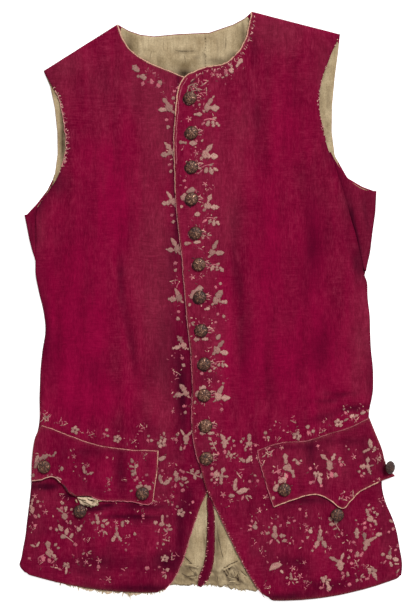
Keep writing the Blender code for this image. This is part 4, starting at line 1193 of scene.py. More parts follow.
# Embroidery. A stroke is x, y, angle, length, width, bend, draw-in, height, thread. A motif is a list
# of strokes about its middle, and a border or spray says where each stands: motif, x, y, size, turn,
# and -1 for its mirror image.
motifs = {
    "borderFlower": [
        (-5, 0, 5, 11, 10, 0, 0.45, 0.9, "tan"), (0, 2, 64, 17, 7, -14, 0.7, 0.8, "tan"),
        (3, -1, -8, 14, 7.5, 12, 0.65, 0.8, "straw"),
        (-2, -3, 214, 6, 4, 0, 0.6, 0.6, "tan"),
    ],
    "budFan": [
        (-9, 2, 34, 19, 1.7, -66, 0.25, 0.6, "pink"), (0, 3, -118, 9, 5.4, 12, 0.55, 0.8, "tan"),
        (4, 3, -84, 11, 6, 8, 0.55, 0.8, "straw"), (8, 1, -46, 9.5, 5.6, 8, 0.55, 0.8, "straw"),
        (-6, 1, -140, 7, 3.4, 0, 0.5, 0.6, "pink"),
        (3, 4, 20, 7, 4, 0, 0.5, 0.7, "tan"),
    ],
    "leaf": [(-6, 0, 4, 12, 7, 0, 0.6, 0.8, "straw")],
    "pair": [(-1, 0, 172, 12, 6, 14, 0.55, 0.8, "tan"), (1, 0, 8, 12, 6, -14, 0.55, 0.8, "straw")],
    "hug": [
        (-12, -3, 82, 12, 6.5, -30, 0.6, 0.8, "tan"), (-8, 8, 34, 14, 7, -20, 0.6, 0.8, "straw"),
        (-13, -8, 250, 5, 4, 0, 0.6, 0.6, "tan"),
    ],
    "star": [
        (0, 0, 20, 4.5, 1.5, 20, 0.4, 0.5, "pink"), (0, 0, 100, 5, 1.5, 20, 0.4, 0.5, "pink"),
        (0, 0, 170, 4.5, 1.5, 20, 0.4, 0.5, "pink"),
        (0, 0, 250, 5, 1.6, 20, 0.4, 0.5, "pink"), (0, 0, 315, 4, 1.6, 20, 0.4, 0.5, "pale"),
    ],
    "buds": [(-4, 1, 60, 5, 4, 0, 0.5, 0.7, "pink"), (3, -1, 20, 5, 4.2, 0, 0.5, 0.7, "tan")],
    "bud": [(-2.5, 0, 10, 5.5, 4.6, 0, 0.5, 0.7, "pink")],
    "curl": [(0, 0, 80, 8, 1.5, 80, 0.25, 0.5, "pink"), (2, 4, 10, 4, 1.4, -40, 0.3, 0.5, "pale")],
    "loops": [
        (-6, -1, 50, 9, 1.5, 70, 0.25, 0.5, "pink"), (-2, 3, -40, 8, 1.4, -60, 0.25, 0.5, "pink"),
        (-3, -4, 10, 8, 1.3, 50, 0.25, 0.5, "tan"),
        (3, -2, 70, 7, 1.5, -60, 0.25, 0.5, "pale"), (6, 3, 160, 5, 1.4, 30, 0.3, 0.5, "pink"),
    ],
    "berries": [
        (-2.5, 4, 20, 5.5, 5, 0, 0.5, 0.8, "tan"), (-4, -2, -10, 5, 4.6, 0, 0.5, 0.8, "pink"),
        (2, -3, 10, 5, 4.6, 0, 0.5, 0.8, "straw"), (0, -8, 80, 8, 1.2, 20, 0.3, 0.4, "pink"),
    ],
    "trefoil": [
        (-5, -2, 5, 12, 11, 0, 0.45, 0.9, "tan"), (0, 2, 92, 15, 7.5, 8, 0.6, 0.9, "tan"),
        (4, -4, -38, 9, 5, 12, 0.6, 0.8, "straw"),
        (-5, -3, 196, 13, 1.6, 24, 0.3, 0.5, "pink"), (8, 7, 40, 6, 4.8, 0, 0.5, 0.8, "tan"),
        (12, 4, 10, 5.5, 4.6, 0, 0.5, 0.8, "straw"),
        (-1, -9, -70, 7, 4.8, 0, 0.5, 0.8, "pink"), (9, -8, -80, 6, 4.4, 0, 0.5, 0.8, "tan"),
        (-12, -8, 20, 6, 4, 0, 0.5, 0.7, "pink"),
    ],
    "threeLeaf": [
        (-4.5, -1, 0, 9, 9, 0, 0.45, 0.9, "tan"), (0, 1, 88, 12, 5.5, 6, 0.6, 0.8, "tan"),
        (-2, -3, 236, 13, 6.5, 14, 0.6, 0.8, "tan"),
        (2, -3, -52, 14, 6, -14, 0.6, 0.8, "straw"), (-0.5, 12, 88, 5, 4, 0, 0.5, 0.7, "pink"),
    ],
    "bird": [
        (1, -8, 98, 15, 9, 8, 0.6, 0.9, "tan"), (-2, 4, 140, 14, 5.5, 14, 0.6, 0.8, "tan"),
        (1, 5, 78, 12, 4.4, -10, 0.6, 0.8, "straw"),
        (2, -8, -66, 8, 4.6, 12, 0.6, 0.8, "pink"), (9, 8, 40, 5.5, 4.4, 0, 0.5, 0.7, "tan"),
        (12, 2, 10, 5, 4.2, 0, 0.5, 0.7, "pink"),
        (9, -8, -80, 7.5, 4.6, 0, 0.5, 0.8, "tan"),
    ],
    "wing": [
        (-11, -6, 62, 22, 8.5, -66, 0.6, 0.9, "tan"), (6, -4, -40, 7, 5, 0, 0.6, 0.7, "straw"),
        (-12, 6, 120, 5, 3, 0, 0.5, 0.6, "pink"),
    ],
    "flower": [
        (-1, 0, 72, 7, 5.6, 0, 0.5, 0.9, "straw"), (-1, 0, 144, 7, 5.6, 0, 0.5, 0.9, "tan"),
        (-1, 0, 216, 7, 5.6, 0, 0.5, 0.9, "straw"),
        (0, 0, 288, 8, 5.6, 0, 0.5, 0.9, "tan"), (0, 0, 0, 7, 5.6, 0, 0.5, 0.9, "straw"),
        (-2.5, 0, 0, 4.5, 4.4, 0, 0.5, 1.1, "brown"),
    ],
    "stemFlower": [
        (-1, 3, 72, 7, 5.4, 0, 0.5, 0.9, "tan"), (-1, 3, 150, 7, 5.4, 0, 0.5, 0.9, "straw"),
        (-1, 3, 220, 6, 5, 0, 0.5, 0.9, "tan"),
        (0, 3, 0, 7, 5.4, 0, 0.5, 0.9, "tan"), (0, 3, -62, 16, 5.6, -10, 0.6, 0.8, "straw"),
        (-10, -8, 10, 6, 4.4, 0, 0.5, 0.7, "pink"),
        (-2, 2, 250, 9, 1.2, 20, 0.3, 0.4, "pink"),
    ],
    "cross": [
        (1, -3, 104, 15, 6, -24, 0.6, 0.9, "tan"), (-5, -3, 5, 10, 8.5, 0, 0.5, 0.9, "tan"),
        (5, -3, -14, 10, 5.6, 20, 0.5, 0.8, "straw"),
        (-13, -1, 20, 7, 5.6, 0, 0.5, 0.8, "tan"), (-3, -8, 232, 8, 3.0, 30, 0.4, 0.6, "pink"),
        (2, -8, -60, 9, 3.4, 16, 0.4, 0.6, "straw"),
        (9, -11, 12, 8, 4.2, 0, 0.5, 0.7, "tan"), (6, 8, 50, 5, 3.4, 0, 0.5, 0.6, "pink"),
        (-8, -12, 200, 4, 2.6, 0, 0.5, 0.6, "rose"),
    ],
    "spray": [
        (-8, -8, 44, 22, 1.6, -14, 0.25, 0.5, "straw"), (-3, -3, 110, 8, 4.6, 14, 0.6, 0.8, "tan"),
        (2, 1, 96, 9, 5, 10, 0.6, 0.8, "tan"),
        (1, 0, -10, 8, 4.8, 12, 0.6, 0.8, "straw"), (6, 6, 50, 9, 5.4, 0, 0.6, 0.8, "tan"),
        (-7, -9, 210, 6, 4, 0, 0.5, 0.7, "pink"),
    ],
    "ell": [
        (-6, -9, 96, 18, 6, -28, 0.55, 0.9, "tan"), (-5, -10, 6, 17, 6.4, 10, 0.55, 0.9, "straw"),
        (-8, -5, 0, 6, 8, 0, 0.5, 0.8, "tan"),
    ],
    "vee": [(0, -4, 150, 13, 5.4, 18, 0.6, 0.8, "tan"), (1, -5, 62, 14, 6, -12, 0.6, 0.8, "straw")],
    "fan": [
        (0, 0, -20, 8, 3, 0, 0.6, 0.7, "straw"), (-1, 0, -60, 9, 3.4, 0, 0.6, 0.7, "tan"),
        (-3, 0, -110, 8, 3.2, 0, 0.6, 0.7, "pink"), (-4, 3, 175, 8, 4.6, 0, 0.6, 0.7, "tan"),
    ],
    "blossom": [
        (-4, 0, 10, 8.5, 8.5, 0, 0.45, 0.9, "straw"), (2, 3, 60, 6, 3.6, 0, 0.6, 0.7, "tan"),
        (-4, 3, 130, 6, 3.4, 0, 0.6, 0.7, "pink"),
    ],
    "scribble": [
        (-10, -2, 50, 12, 1.4, 90, 0.2, 0.5, "pink"), (4, -6, 120, 12, 1.4, -100, 0.2, 0.5, "straw"),
        (-6, 6, -20, 12, 1.3, -90, 0.2, 0.5, "tan"),
        (8, 4, 200, 12, 1.3, 80, 0.2, 0.5, "pink"), (-10, -7, 20, 12, 1.4, 60, 0.2, 0.5, "straw"),
        (-2, -8, 70, 12, 1.3, 50, 0.2, 0.5, "tan"),
        (-5, 1, -60, 10, 1.3, 60, 0.2, 0.5, "pale"), (2, 8, -120, 10, 1.4, -70, 0.2, 0.5, "pink"),
        (-1, 0, 10, 6, 3.6, 0, 0.5, 0.6, "tan"),
    ],
    "clover": [
        (-1, 2, 120, 11, 7.4, 10, 0.55, 0.9, "tan"), (1, 1, 30, 13, 6.4, -8, 0.6, 0.9, "straw"),
        (-1, -1, 228, 11, 6.6, 10, 0.55, 0.9, "tan"),
        (-4, 0, 0, 8, 8, 0, 0.5, 0.9, "tan"), (2, -2, -50, 8, 3.2, 10, 0.5, 0.7, "tan"),
    ],
}
frontLeftSprays = [
    ("borderFlower", -5, 267, 1, 0, 1), ("borderFlower", -8, 203, 1, -4, 1),
    ("borderFlower", -5, 134, 1, 4, 1), ("borderFlower", 2, 72, 1, 6, 1),
    ("borderFlower", 7, 7, 1, 0, 1), ("borderFlower", 8, -60, 1, -6, 1),
    ("borderFlower", 9, -123, 0.95, 4, 1),
    ("budFan", -2, 247, 1, 0, 1), ("budFan", -5, 184, 1, 8, 1), ("budFan", 0, 115, 0.9, -8, 1),
    ("budFan", 4, 52, 0.9, 0, 1),
    ("buds", 12, -14, 1, 0, 1), ("budFan", 12, -78, 0.7, 0, 1), ("bud", 14, -140, 1, 0, 1),
    ("buds", 10, 26, 0.9, 60, 1),
    ("leaf", -18, 258, 1, 0, 1), ("leaf", -18, 123, 0.8, 4, 1), ("leaf", -5, -4, 0.8, 10, 1),
    ("leaf", 10, -42, 0.8, 50, 1),
    ("pair", -31, 219, 1, 0, 1), ("pair", -25, 85, 0.9, 6, 1), ("pair", -14, -45, 0.9, 4, 1),
    ("pair", -6, -172, 0.8, 0, 1),
    ("hug", -26, 144, 1, 0, 1), ("hug", -15, 12, 1, 0, 1), ("hug", -9, -120, 0.9, 0, 1),
    ("hug", -27, 233, 0.5, 10, 1),
    ("star", -30, 252, 1, 0, 1), ("bud", -36, 168, 1, 0, 1), ("bud", -34, 159, 0.8, 40, 1),
    ("star", -25, 39, 1, 0, 1), ("curl", -11, 74, 1, 40, 1),
    ("buds", -20, 269, 0.9, 30, 1), ("star", -20, 206, 0.9, 0, 1), ("star", -8, 164, 1, 20, 1),
    ("curl", -2, 160, 0.7, 200, 1),
    ("buds", -15, 181, 0.8, 90, 1), ("loops", -12, 300, 1, 0, 1), ("loops", -8, 287, 0.9, 60, 1),
    ("curl", -22, 312, 0.8, 30, 1),
    ("buds", 16, 309, 1.0, 24, 1), ("leaf", 38, 327, 1.3, 52, 1), ("blossom", 28, 317, 1.0, 40, 1),
    ("bud", 20, 314, 1.0, 30, 1), ("buds", 11, 308, 0.9, 0, 1),
    ("curl", 30, 334, 0.6, 20, 1), ("curl", 41, 350, 0.6, 40, 1), ("curl", 48, 366, 0.6, 60, 1),
    ("star", 2, 312, 0.8, 0, 1),
    ("buds", 12, -104, 0.8, 0, 1), ("bud", 6, -22, 0.8, 0, 1), ("star", 2, -32, 0.8, 0, 1),
    ("pair", 2, -86, 0.5, 30, 1),
    ("spray", 4, -188, 0.8, 70, 1), ("bird", 19, -186, 0.85, -20, 1), ("trefoil", 52, -184, 0.75, 10, -1),
    ("vee", 47, -207, 1, -8, 1),
    ("cross", 26, -200, 0.55, 30, 1), ("clover", 14, -229, 0.9, 40, 1), ("berries", 2, -224, 1, 10, 1),
    ("berries", 4, -236, 0.8, 60, 1),
    ("ell", 38, -241, 1, 0, 1), ("fan", 47, -255, 1, 0, 1), ("leaf", 28, -256, 0.8, 0, 1),
    ("star", 16, -254, 1, 20, 1), ("curl", 26, -266, 0.7, 0, 1),
    ("berries", 73, -175, 0.9, 0, 1), ("flower", 116, -175, 0.9, 0, 1), ("berries", 132, -168, 1.1, 20, 1),
    ("curl", 110, -170, 0.5, 120, 1),
    ("flower", 172, -157, 0.9, 20, 1), ("pair", 186, -151, 0.7, 30, 1), ("pair", 200, -146, 0.7, 20, 1),
    ("loops", 194, -153, 0.9, 20, 1),
    ("buds", 208, -143, 0.9, 30, 1), ("loops", 150, -168, 0.7, 0, 1), ("loops", 90, -179, 0.6, 10, 1),
    ("berries", 181, -142, 0.7, 30, 1),
    ("blossom", 60, -298, 0.9, 30, 1), ("cross", 86, -306, 1, 0, 1), ("bud", 52, -302, 1, 0, 1),
    ("threeLeaf", 147, -312, 1, 0, 1),
    ("spray", 168, -296, 0.9, 84, 1), ("blossom", 134, -304, 0.7, 20, 1),
    ("trefoil", 213, -286, 0.8, 10, 1), ("berries", 214, -272, 0.8, 20, 1),
    ("bird", 208, -322, 1.1, -4, -1), ("leaf", 197, -305, 0.9, 80, 1), ("bud", 207, -299, 1, 0, 1),
    ("leaf", 226, -308, 0.8, 6, 1),
    ("cross", 240, -336, 0.9, -10, 1), ("bud", 252, -324, 1, 20, 1), ("stemFlower", 217, -360, 1, 0, 1),
    ("stemFlower", 155, -372, 1, 0, 1),
    ("bird", 174, -349, 1.05, 0, 1), ("wing", 88, -352, 0.9, 0, 1), ("star", 110, -353, 1, 0, 1),
    ("cross", 108, -366, 0.6, 0, 1),
    ("buds", 127, -316, 0.9, 60, 1), ("bud", 55, -290, 0.8, 0, 1), ("spray", 246, -288, 0.9, 40, 1),
    ("buds", 243, -304, 0.9, 60, 1),
    ("bud", 254, -292, 0.8, 0, 1), ("leaf", 104, -292, 0.5, 0, 1), ("bud", 112, -290, 0.8, 0, 1),
    ("bud", 188, -330, 1, 0, 1), ("bud", 195, -337, 0.9, 0, 1),
    ("star", 128, -296, 0.7, 0, 1), ("loops", 232, -262, 0.8, 60, 1), ("buds", 70, -330, 0.6, 0, 1),
    ("curl", 62, -318, 0.7, 100, 1), ("curl", 70, -330, 0.7, 130, 1),
    ("leaf", 252, -357, 0.6, 50, 1), ("bud", 170, -286, 0.7, 0, 1), ("bud", 90, -284, 0.6, 0, 1),
]
frontRightSprays = [
    ("borderFlower", -56, 266, 1, 0, -1), ("borderFlower", -53, 206, 0.95, 4, -1),
    ("borderFlower", -52, 140, 0.95, 0, -1),
    ("borderFlower", -46, 76, 0.95, -4, -1), ("borderFlower", -43, 10, 0.95, 0, -1),
    ("borderFlower", -37, -53, 0.95, 6, -1), ("borderFlower", -34, -118, 0.95, 0, -1),
    ("buds", -57, 247, 1.1, 80, -1), ("buds", -53, 187, 1.1, 80, -1), ("buds", -50, 119, 1.1, 80, -1),
    ("buds", -46, 54, 1.1, 70, -1),
    ("buds", -42, -12, 1.1, 60, -1), ("buds", -36, -74, 1.1, 80, -1), ("buds", -34, -138, 1, 80, -1),
    ("buds", -48, 285, 1.1, 60, -1), ("bud", -44, 294, 1, 60, 1),
    ("leaf", -101, 320, 1.15, 134, 1), ("blossom", -90, 309, 1.2, 120, 1), ("bud", -77, 313, 0.9, 0, 1),
    ("buds", -75, 299, 1.3, 20, 1), ("bud", -70, 297, 1.2, 120, 1),
    ("bud", -80, 304, 0.9, 90, 1),
    ("curl", -62, 287, 0.5, 100, 1), ("curl", -84, 318, 0.4, 60, 1),
    ("scribble", -222, -150, 0.95, 0, 1), ("loops", -200, -158, 0.9, -20, 1),
    ("flower", -183, -167, 0.85, 0, 1), ("flower", -126, -179, 0.85, 0, 1),
    ("flower", -66, -185, 0.85, 30, 1), ("berries", -142, -171, 0.9, -20, 1),
    ("berries", -84, -179, 0.8, 0, 1), ("loops", -106, -182, 0.7, 0, 1),
    ("pair", -218, -172, 0.8, -20, 1), ("loops", -163, -172, 0.7, -10, 1), ("bird", -34, -180, 0.9, 10, -1),
    ("spray", -65, -181, 0.7, 30, 1),
    ("leaf", -66, -206, 0.9, 20, 1), ("blossom", -75, -205, 0.8, 0, 1), ("cross", -46, -231, 0.9, 12, 1),
    ("spray", -24, -226, 1, -60, 1), ("bud", -38, -249, 1.2, 20, 1),
    ("ell", -64, -232, 0.8, 20, 1), ("bud", -66, -222, 0.8, 0, 1), ("star", -52, -256, 0.8, 0, 1),
    ("bird", -242, -274, 0.9, 10, 1), ("bird", -197, -282, 0.8, 0, 1), ("berries", -200, -270, 0.9, 0, 1),
    ("cross", -152, -289, 0.8, 20, 1), ("blossom", -172, -279, 0.9, 0, 1),
    ("cross", -66, -292, 0.9, 0, 1), ("flower", -40, -278, 0.8, 0, 1), ("bud", -58, -301, 1, 0, 1),
    ("wing", -118, -292, 0.5, 60, 1), ("leaf", -112, -291, 0.5, 80, 1),
    ("star", -128, -291, 0.8, 0, 1), ("threeLeaf", -127, -307, 0.75, 0, 1),
    ("curl", -112, -312, 0.6, 80, 1), ("buds", -106, -310, 0.9, 40, 1),
    ("buds", -213, -302, 1, 10, 1), ("spray", -193, -310, 1.1, 0, -1), ("blossom", -178, -301, 0.8, 0, 1),
    ("trefoil", -219, -331, 0.95, 4, 1), ("bud", -225, -341, 1.5, 80, 1),
    ("vee", -236, -322, 0.7, 0, 1), ("star", -151, -343, 1, 0, 1), ("bud", -151, -352, 1, 80, 1),
    ("stemFlower", -196, -352, 0.8, -30, 1), ("flower", -62, -340, 0.8, 10, 1),
    ("bud", -86, -354, 1.4, 0, 1), ("star", -138, -368, 1, 30, 1), ("bud", -245, -340, 0.9, 0, 1),
    ("loops", -230, -346, 0.5, 0, 1), ("bud", -70, -352, 0.7, 0, 1),
    ("buds", -50, -270, 0.8, 0, 1), ("bud", -92, -283, 0.8, 0, 1), ("loops", -240, -300, 0.5, 0, 1),
    ("bud", -62, -263, 0.7, 0, 1), ("bud", -237, -296, 0.9, 40, 1),
]
flapRightSprays = [
    ("hug", -224, -216, 1.1, 0, 1), ("leaf", -234, -206, 0.9, 60, 1), ("leaf", -200, -219, 0.6, 80, 1),
    ("ell", -166, -219, 0.75, 10, 1), ("star", -166, -214, 0.8, 0, 1),
    ("spray", -103, -219, 0.9, 60, 1), ("leaf", -103, -226, 0.8, 30, 1), ("bud", -87, -228, 0.9, 0, 1),
    ("hug", -92, -252, 0.9, -50, 1), ("curl", -118, -236, 0.5, 30, 1),
    ("star", -138, -233, 0.6, 0, 1), ("star", -138, -240, 0.6, 50, 1), ("star", -137, -247, 0.6, 90, 1),
    ("bud", -170, -233, 0.6, 0, 1), ("loops", -90, -200, 0.6, 0, 1),
    ("star", -182, -216, 0.5, 0, 1), ("bud", -140, -204, 0.7, 0, 1), ("vee", -214, -200, 0.7, 0, 1),
]
flapLeftSprays = [
    ("scribble", 78, -197, 1, 0, 1), ("loops", 68, -212, 0.8, 30, 1), ("trefoil", 101, -216, 1.05, 0, 1),
    ("curl", 90, -214, 1, 160, 1), ("hug", 99, -247, 1.1, 0, 1),
    ("stemFlower", 144, -230, 0.9, 0, 1), ("bud", 134, -238, 1, 60, 1), ("bud", 148, -242, 0.9, -60, 1),
    ("bird", 160, -214, 1.05, -10, 1), ("berries", 174, -208, 0.7, 0, 1),
    ("vee", 212, -190, 0.9, 50, 1), ("clover", 211, -216, 0.9, 60, 1), ("berries", 202, -226, 0.8, 40, 1),
    ("scribble", 226, -205, 0.7, 40, 1), ("leaf", 220, -192, 0.8, 80, 1),
    ("hug", 239, -217, 0.6, 0, -1), ("bud", 92, -232, 0.8, 0, 1), ("berries", 118, -210, 0.7, 60, 1),
    ("pair", 100, -232, 0.6, 90, 1),
]


def strewn(sprays, places, seed):
    # small motifs thrown into ovals (x, y, half width, half length, count), clear of what is there
    pick = np.random.default_rng(seed)
    taken = [(row[1], row[2]) for row in sprays]
    added = []
    for x0, y0, halfWidth, halfLength, count in places:
        for x, y in pick.uniform(-1, 1, (count, 2)) * (halfWidth, halfLength) + (x0, y0):
            if min(math.hypot(x - a, y - b) for a, b in taken) < 11:
                continue
            taken.append((x, y))
            kind = ["bud", "star", "buds", "fan", "star", "loops", "curl"][pick.integers(7)]
            added.append((kind, x, y, pick.uniform(0.6, 1.0), pick.uniform(0, 360), 1))
    return sprays + added


def strayStitches(sprays, most, seed):
    # loose short stitches about each motif: what is left of stems and outlines
    pick = np.random.default_rng(seed)
    rows = []
    for _, x, y, size, _, _ in sprays:
        for _ in range(pick.integers(1, most + 1)):
            way, far = pick.uniform(0, 6.28), pick.uniform(4, 14) * size
            colour = ["rose", "pink", "rose", "pale", "rose", "brown"][pick.integers(6)]
            px, py = x + far * math.cos(way), y + far * math.sin(way)
            rows.append((px, py, pick.uniform(0, 360), pick.uniform(1.6, 5), pick.uniform(0.8, 1.7),
                         pick.normal() * 60, 0.4, 0.2, colour))
    return rows


def placed(sprays):
    # each motif's strokes turned, sized, mirrored and moved to where it stands
    rows = []
    for motif, x, y, size, turn, side in sprays:
        c, s = math.cos(math.radians(turn)), math.sin(math.radians(turn))
        for a, b, angle, length, width, bend, drawIn, tall, colour in motifs[motif]:
            a, angle, bend = (a, angle, bend) if side > 0 else (-a, 180 - angle, -bend)
            px, py = x + size * (a * c - b * s), y + size * (a * s + b * c)
            rows.append((px, py, angle + turn, length * size, width * size, bend, drawIn, 0.45 * tall,
                         colour))
    return rows


def buttonholeRows():
    # beside each button a slit with a worked edge above and below, a dark arc of painted shadow round the
    # button's other side, and loose stitches all about
    rows = []
    for node in buttons:
        if not node.startswith("button"):
            continue
        low, high = (np.array(corner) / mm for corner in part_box(node))
        x, y = (low[0] + high[0]) / 2, (low[1] + high[1]) / 2
        lean = rng.uniform(0, 30)
        rows += [
            (x + 6, y + 1.5, lean - 4, 11, 1.8, -30, 0.3, 0.15, "dark"),
            (x + 6, y + 3.6, lean + 6, 10, 1.5, -60, 0.3, 0.45, "pale"),
            (x + 6, y + 0.2, lean - 14, 10, 1.5, 34, 0.3, 0.4, "pink"),
            (x + 9, y + 2.0, lean + 50, 5, 1.3, 0, 0.3, 0.4, "blush"),
            (x + 12, y + 1.0, lean - 60, 5, 1.2, 40, 0.3, 0.4, "rose"),
            (x + 8, y - 2.5, lean - 20, 6, 1.4, 0, 0.3, 0.4, "tan"),
            (x - 8.9, y + 3.2, 250, 20, 2.6, 125, 0.5, 0.1, "dark"),
        ]
        for k in range(7):
            way = rng.uniform(0, 6.28)
            px, py = x + 9.6 * math.cos(way), y + 9.6 * math.sin(way)
            colour = ["rose", "pink", "tan", "pale", "dark"][k % 5]
            rows.append((px, py, math.degrees(way) + rng.uniform(20, 160), rng.uniform(2, 6),
                         rng.uniform(1.0, 1.9), rng.normal() * 40, 0.4, 0.4, colour))
    return rows


puckers = [
    (-30, 287, 30, 20, 2.0, -30, 0.3, 0.7, "straw"), (-30, 291, 34, 17, 1.6, -24, 0.3, 0.5, "brown"),
    (-31, 294, 42, 15, 2.0, -34, 0.3, 0.8, "tan"),
    (-29, 298, 44, 11, 1.5, -20, 0.3, 0.5, "dark"), (-28, 301, 50, 8, 1.8, -20, 0.3, 0.7, "straw"),
    (-33, 285, 80, 16, 1.8, -24, 0.3, 0.6, "tan"),
    (-14, 287, 128, 16, 2.0, 20, 0.3, 0.7, "tan"), (-12, 291, 160, 9, 1.6, 20, 0.3, 0.6, "straw"),
    (-18, 284, 110, 9, 1.6, 10, 0.3, 0.5, "dark"),
    (-22, 290, 20, 9, 1.5, 0, 0.3, 0.5, "pink"),
]

# where the right flap's edge has come away: a curled end of cord, and dark strokes of painted shade along the
# fold down to the tear
tornEdge = [
    (-209, -230.6, -8, 9, 3.2, -40, 0.4, 1.2, "blush"), (-201, -232.5, -70, 8, 3.4, -40, 0.4, 1.2, "blush"),
    (-199.5, -239, -52, 15, 2.0, -10, 0.4, 0.3, "dark"), (-190, -249, -44, 11, 1.6, 6, 0.4, 0.3, "brown"),
]

frontLeftAll = strewn(frontLeftSprays, [
    (-16, 30, 12, 270, 50), (45, -225, 30, 40, 14), (120, -320, 70, 60, 26), (210, -310, 44, 60, 20),
    (150, -160, 70, 8, 12), (6, -150, 14, 60, 10),
], 11)
frontRightAll = strewn(frontRightSprays, [
    (-150, -310, 100, 62, 34), (-46, -225, 26, 44, 4), (-48, 40, 6, 260, 18), (-160, -163, 70, 8, 10),
    (-90, -305, 40, 50, 10),
], 12)
flapRightAll = strewn(flapRightSprays, [(-150, -222, 80, 32, 10)], 13)
flapLeftAll = strewn(flapLeftSprays, [(150, -220, 80, 40, 14)], 14)


def sew(name, strokes, cloth, material=thread, slot="metal_thread", **manner):
    makeStrokes(name, strokes, cloth, material, slot, **manner)


def layCord(name, tubes, material=thread):
    makeTubes(name, tubes, material)


sew("embroidery_front_left",
    placed(frontLeftAll) + strayStitches(frontLeftAll, 5, 15) + buttonholeRows() + puckers,
    overLeft, bright=0.95)
sew("embroidery_front_right", placed(frontRightAll) + strayStitches(frontRightAll, 5, 16),
    overRight, puff=0.7, bright=0.84)
sew("embroidery_flap_right", placed(flapRightAll) + strayStitches(flapRightAll, 4, 17) + tornEdge,
    overFlapRight, bright=0.68)
sew("embroidery_flap_left", placed(flapLeftAll) + strayStitches(flapLeftAll, 4, 18), overFlapLeft)
print("embroidery made")


# Edgings: pale cord oversewn along the free edges, thinning and breaking where it has worn.

def edgePath(table, first, last, step, cloth, inset=0.0, wander=0.25, seed=70):
    # evenly spaced points along a curve, moved a little sideways, on the cloth's own height
    length = runAlong(curveThrough(table, np.linspace(0, len(table) - 1, 300)))[-1]
    fine = evenCurve(table, max(8, int(length / step)))
    fine = fine[int(first * len(fine)) : max(int(last * len(fine)), 4)]
    way = np.gradient(fine, axis=0)
    side = np.column_stack([way[:, 1], -way[:, 0]]) / np.maximum(np.hypot(*way.T), 1e-9)[:, None]
    run = runAlong(fine)
    fine = fine + side * (inset + wander * ripples(run, 0 * run, seed, 11))[:, None]
    return np.column_stack([fine, cloth[0](fine[:, 0], fine[:, 1])])


def wornRadius(path, most, seed, gaps=0.0):
    # a radius that swells and thins along the run, and vanishes where it has worn away
    run = runAlong(path)
    size = most * (0.85 + 0.22 * ripples(run, 0 * run, seed, 7))
    return np.clip(size * (ripples(run, 0 * run, seed + 1, 22) > gaps * 2 - 3), 0.12, None)


leftEdge = [row[0:2] for row in frontLeft["rows"]]
rightEdge = [row[0:2] for row in frontRight["rows"]]
rightArmhole = [row[2:4] for row in frontRight["rows"][:11]]
leftArmhole = [row[2:4] for row in frontLeft["rows"][:10]]
pale, peach, pinkish = threadColours["pale"], dye(208, 160, 136), threadColours["pink"]


def leftEdgingTubes():
    tubes = []
    neck = edgePath(leftEdge[:9], 0.0, 1.0, 1.4, overLeft, 0.2)
    tubes.append((neck + [0, 0, 0.25], wornRadius(neck, 0.95, 71), peach))
    lap = edgePath(leftEdge[8:12], 0.0, 1.0, 1.4, overLeft, 0.2, seed=72)
    tubes.append((lap + [0, 0, 0.2], wornRadius(lap, 0.72, 73), dye(184, 134, 118)))
    lap = edgePath(leftEdge[11:19], 0.0, 1.0, 1.4, overLeft, 0.2, seed=62)
    tubes.append((lap + [0, 0, 0.15], wornRadius(lap, 0.62, 63, gaps=0.3), dye(166, 104, 104)))
    low = edgePath(leftEdge[18:25], 0.0, 0.72, 1.4, overLeft, 0.2, seed=74)
    tubes.append((low + [0, 0, 0.1], wornRadius(low, 0.55, 75, gaps=1.2), pinkish))
    inside = edgePath(leftEdge[6:11], 0.0, 1.0, 1.4, overLeft, -3.0, 0.3, seed=76)
    tubes.append((inside + [0, 0, 0.1], wornRadius(inside, 0.5, 77), pinkish))
    skirt = edgePath(leftEdge[24:], 0.0, 0.98, 1.6, overLeft, -0.6, 0.3, seed=78)
    tubes.append((skirt, wornRadius(skirt, 0.42, 79, gaps=0.8), threadColours["rose"]))
    return tubes


def rightEdgingTubes():
    neck = edgePath(rightEdge[:7], 0.0, 0.98, 1.4, overRight, 0.2, seed=80)
    skirt = edgePath(rightEdge[23:], 0.05, 0.98, 1.6, overRight, 0.4, 0.3, seed=82)
    armhole = edgePath(rightArmhole, 0.15, 0.68, 1.3, overRight, -0.3, 0.6, seed=84)
    return [
        (neck + [0, 0, 0.2], wornRadius(neck, 1.0, 81), peach),
        (armhole, wornRadius(armhole, 0.6, 85, gaps=0.7), dye(196, 136, 128)),
        (skirt, wornRadius(skirt, 0.5, 83, gaps=0.8), pinkish),
    ]


def flapEdging(flap, over, seed, parts):
    tubes = []
    for edge, first, last, inset, most, gaps, colour in parts:
        path = edgePath(flap[edge], first, last, 1.3, over, inset, 0.25, seed)
        tubes.append((path + [0, 0, 0.15], wornRadius(path, most, seed + 1, gaps), colour))
        seed += 3
    return tubes


layCord("edging_front_left", leftEdgingTubes())
layCord("edging_front_right", rightEdgingTubes())
layCord("edging_flap_right", flapEdging(flapRight, overFlapRight, 90, [
    ("bottom", 0.0, 0.25, -0.6, 0.75, 0.3, pale), ("bottom", 0.52, 1.0, -0.4, 0.65, 0.6, pinkish),
    ("right", 0.0, 1.0, 0.5, 0.6, 0.9, peach),
    ("top", 0.0, 1.0, 1.0, 0.5, 1.0, dye(200, 134, 126)),
]))
layCord("edging_flap_left", flapEdging(flapLeft, overFlapLeft, 120, [
    ("bottom", 0.0, 0.88, -0.5, 0.75, 0.2, peach), ("left", 0.0, 1.0, -0.4, 0.55, 1.1, pinkish),
    ("top", 0.0, 1.0, 1.0, 0.4, 1.3, pinkish),
]))


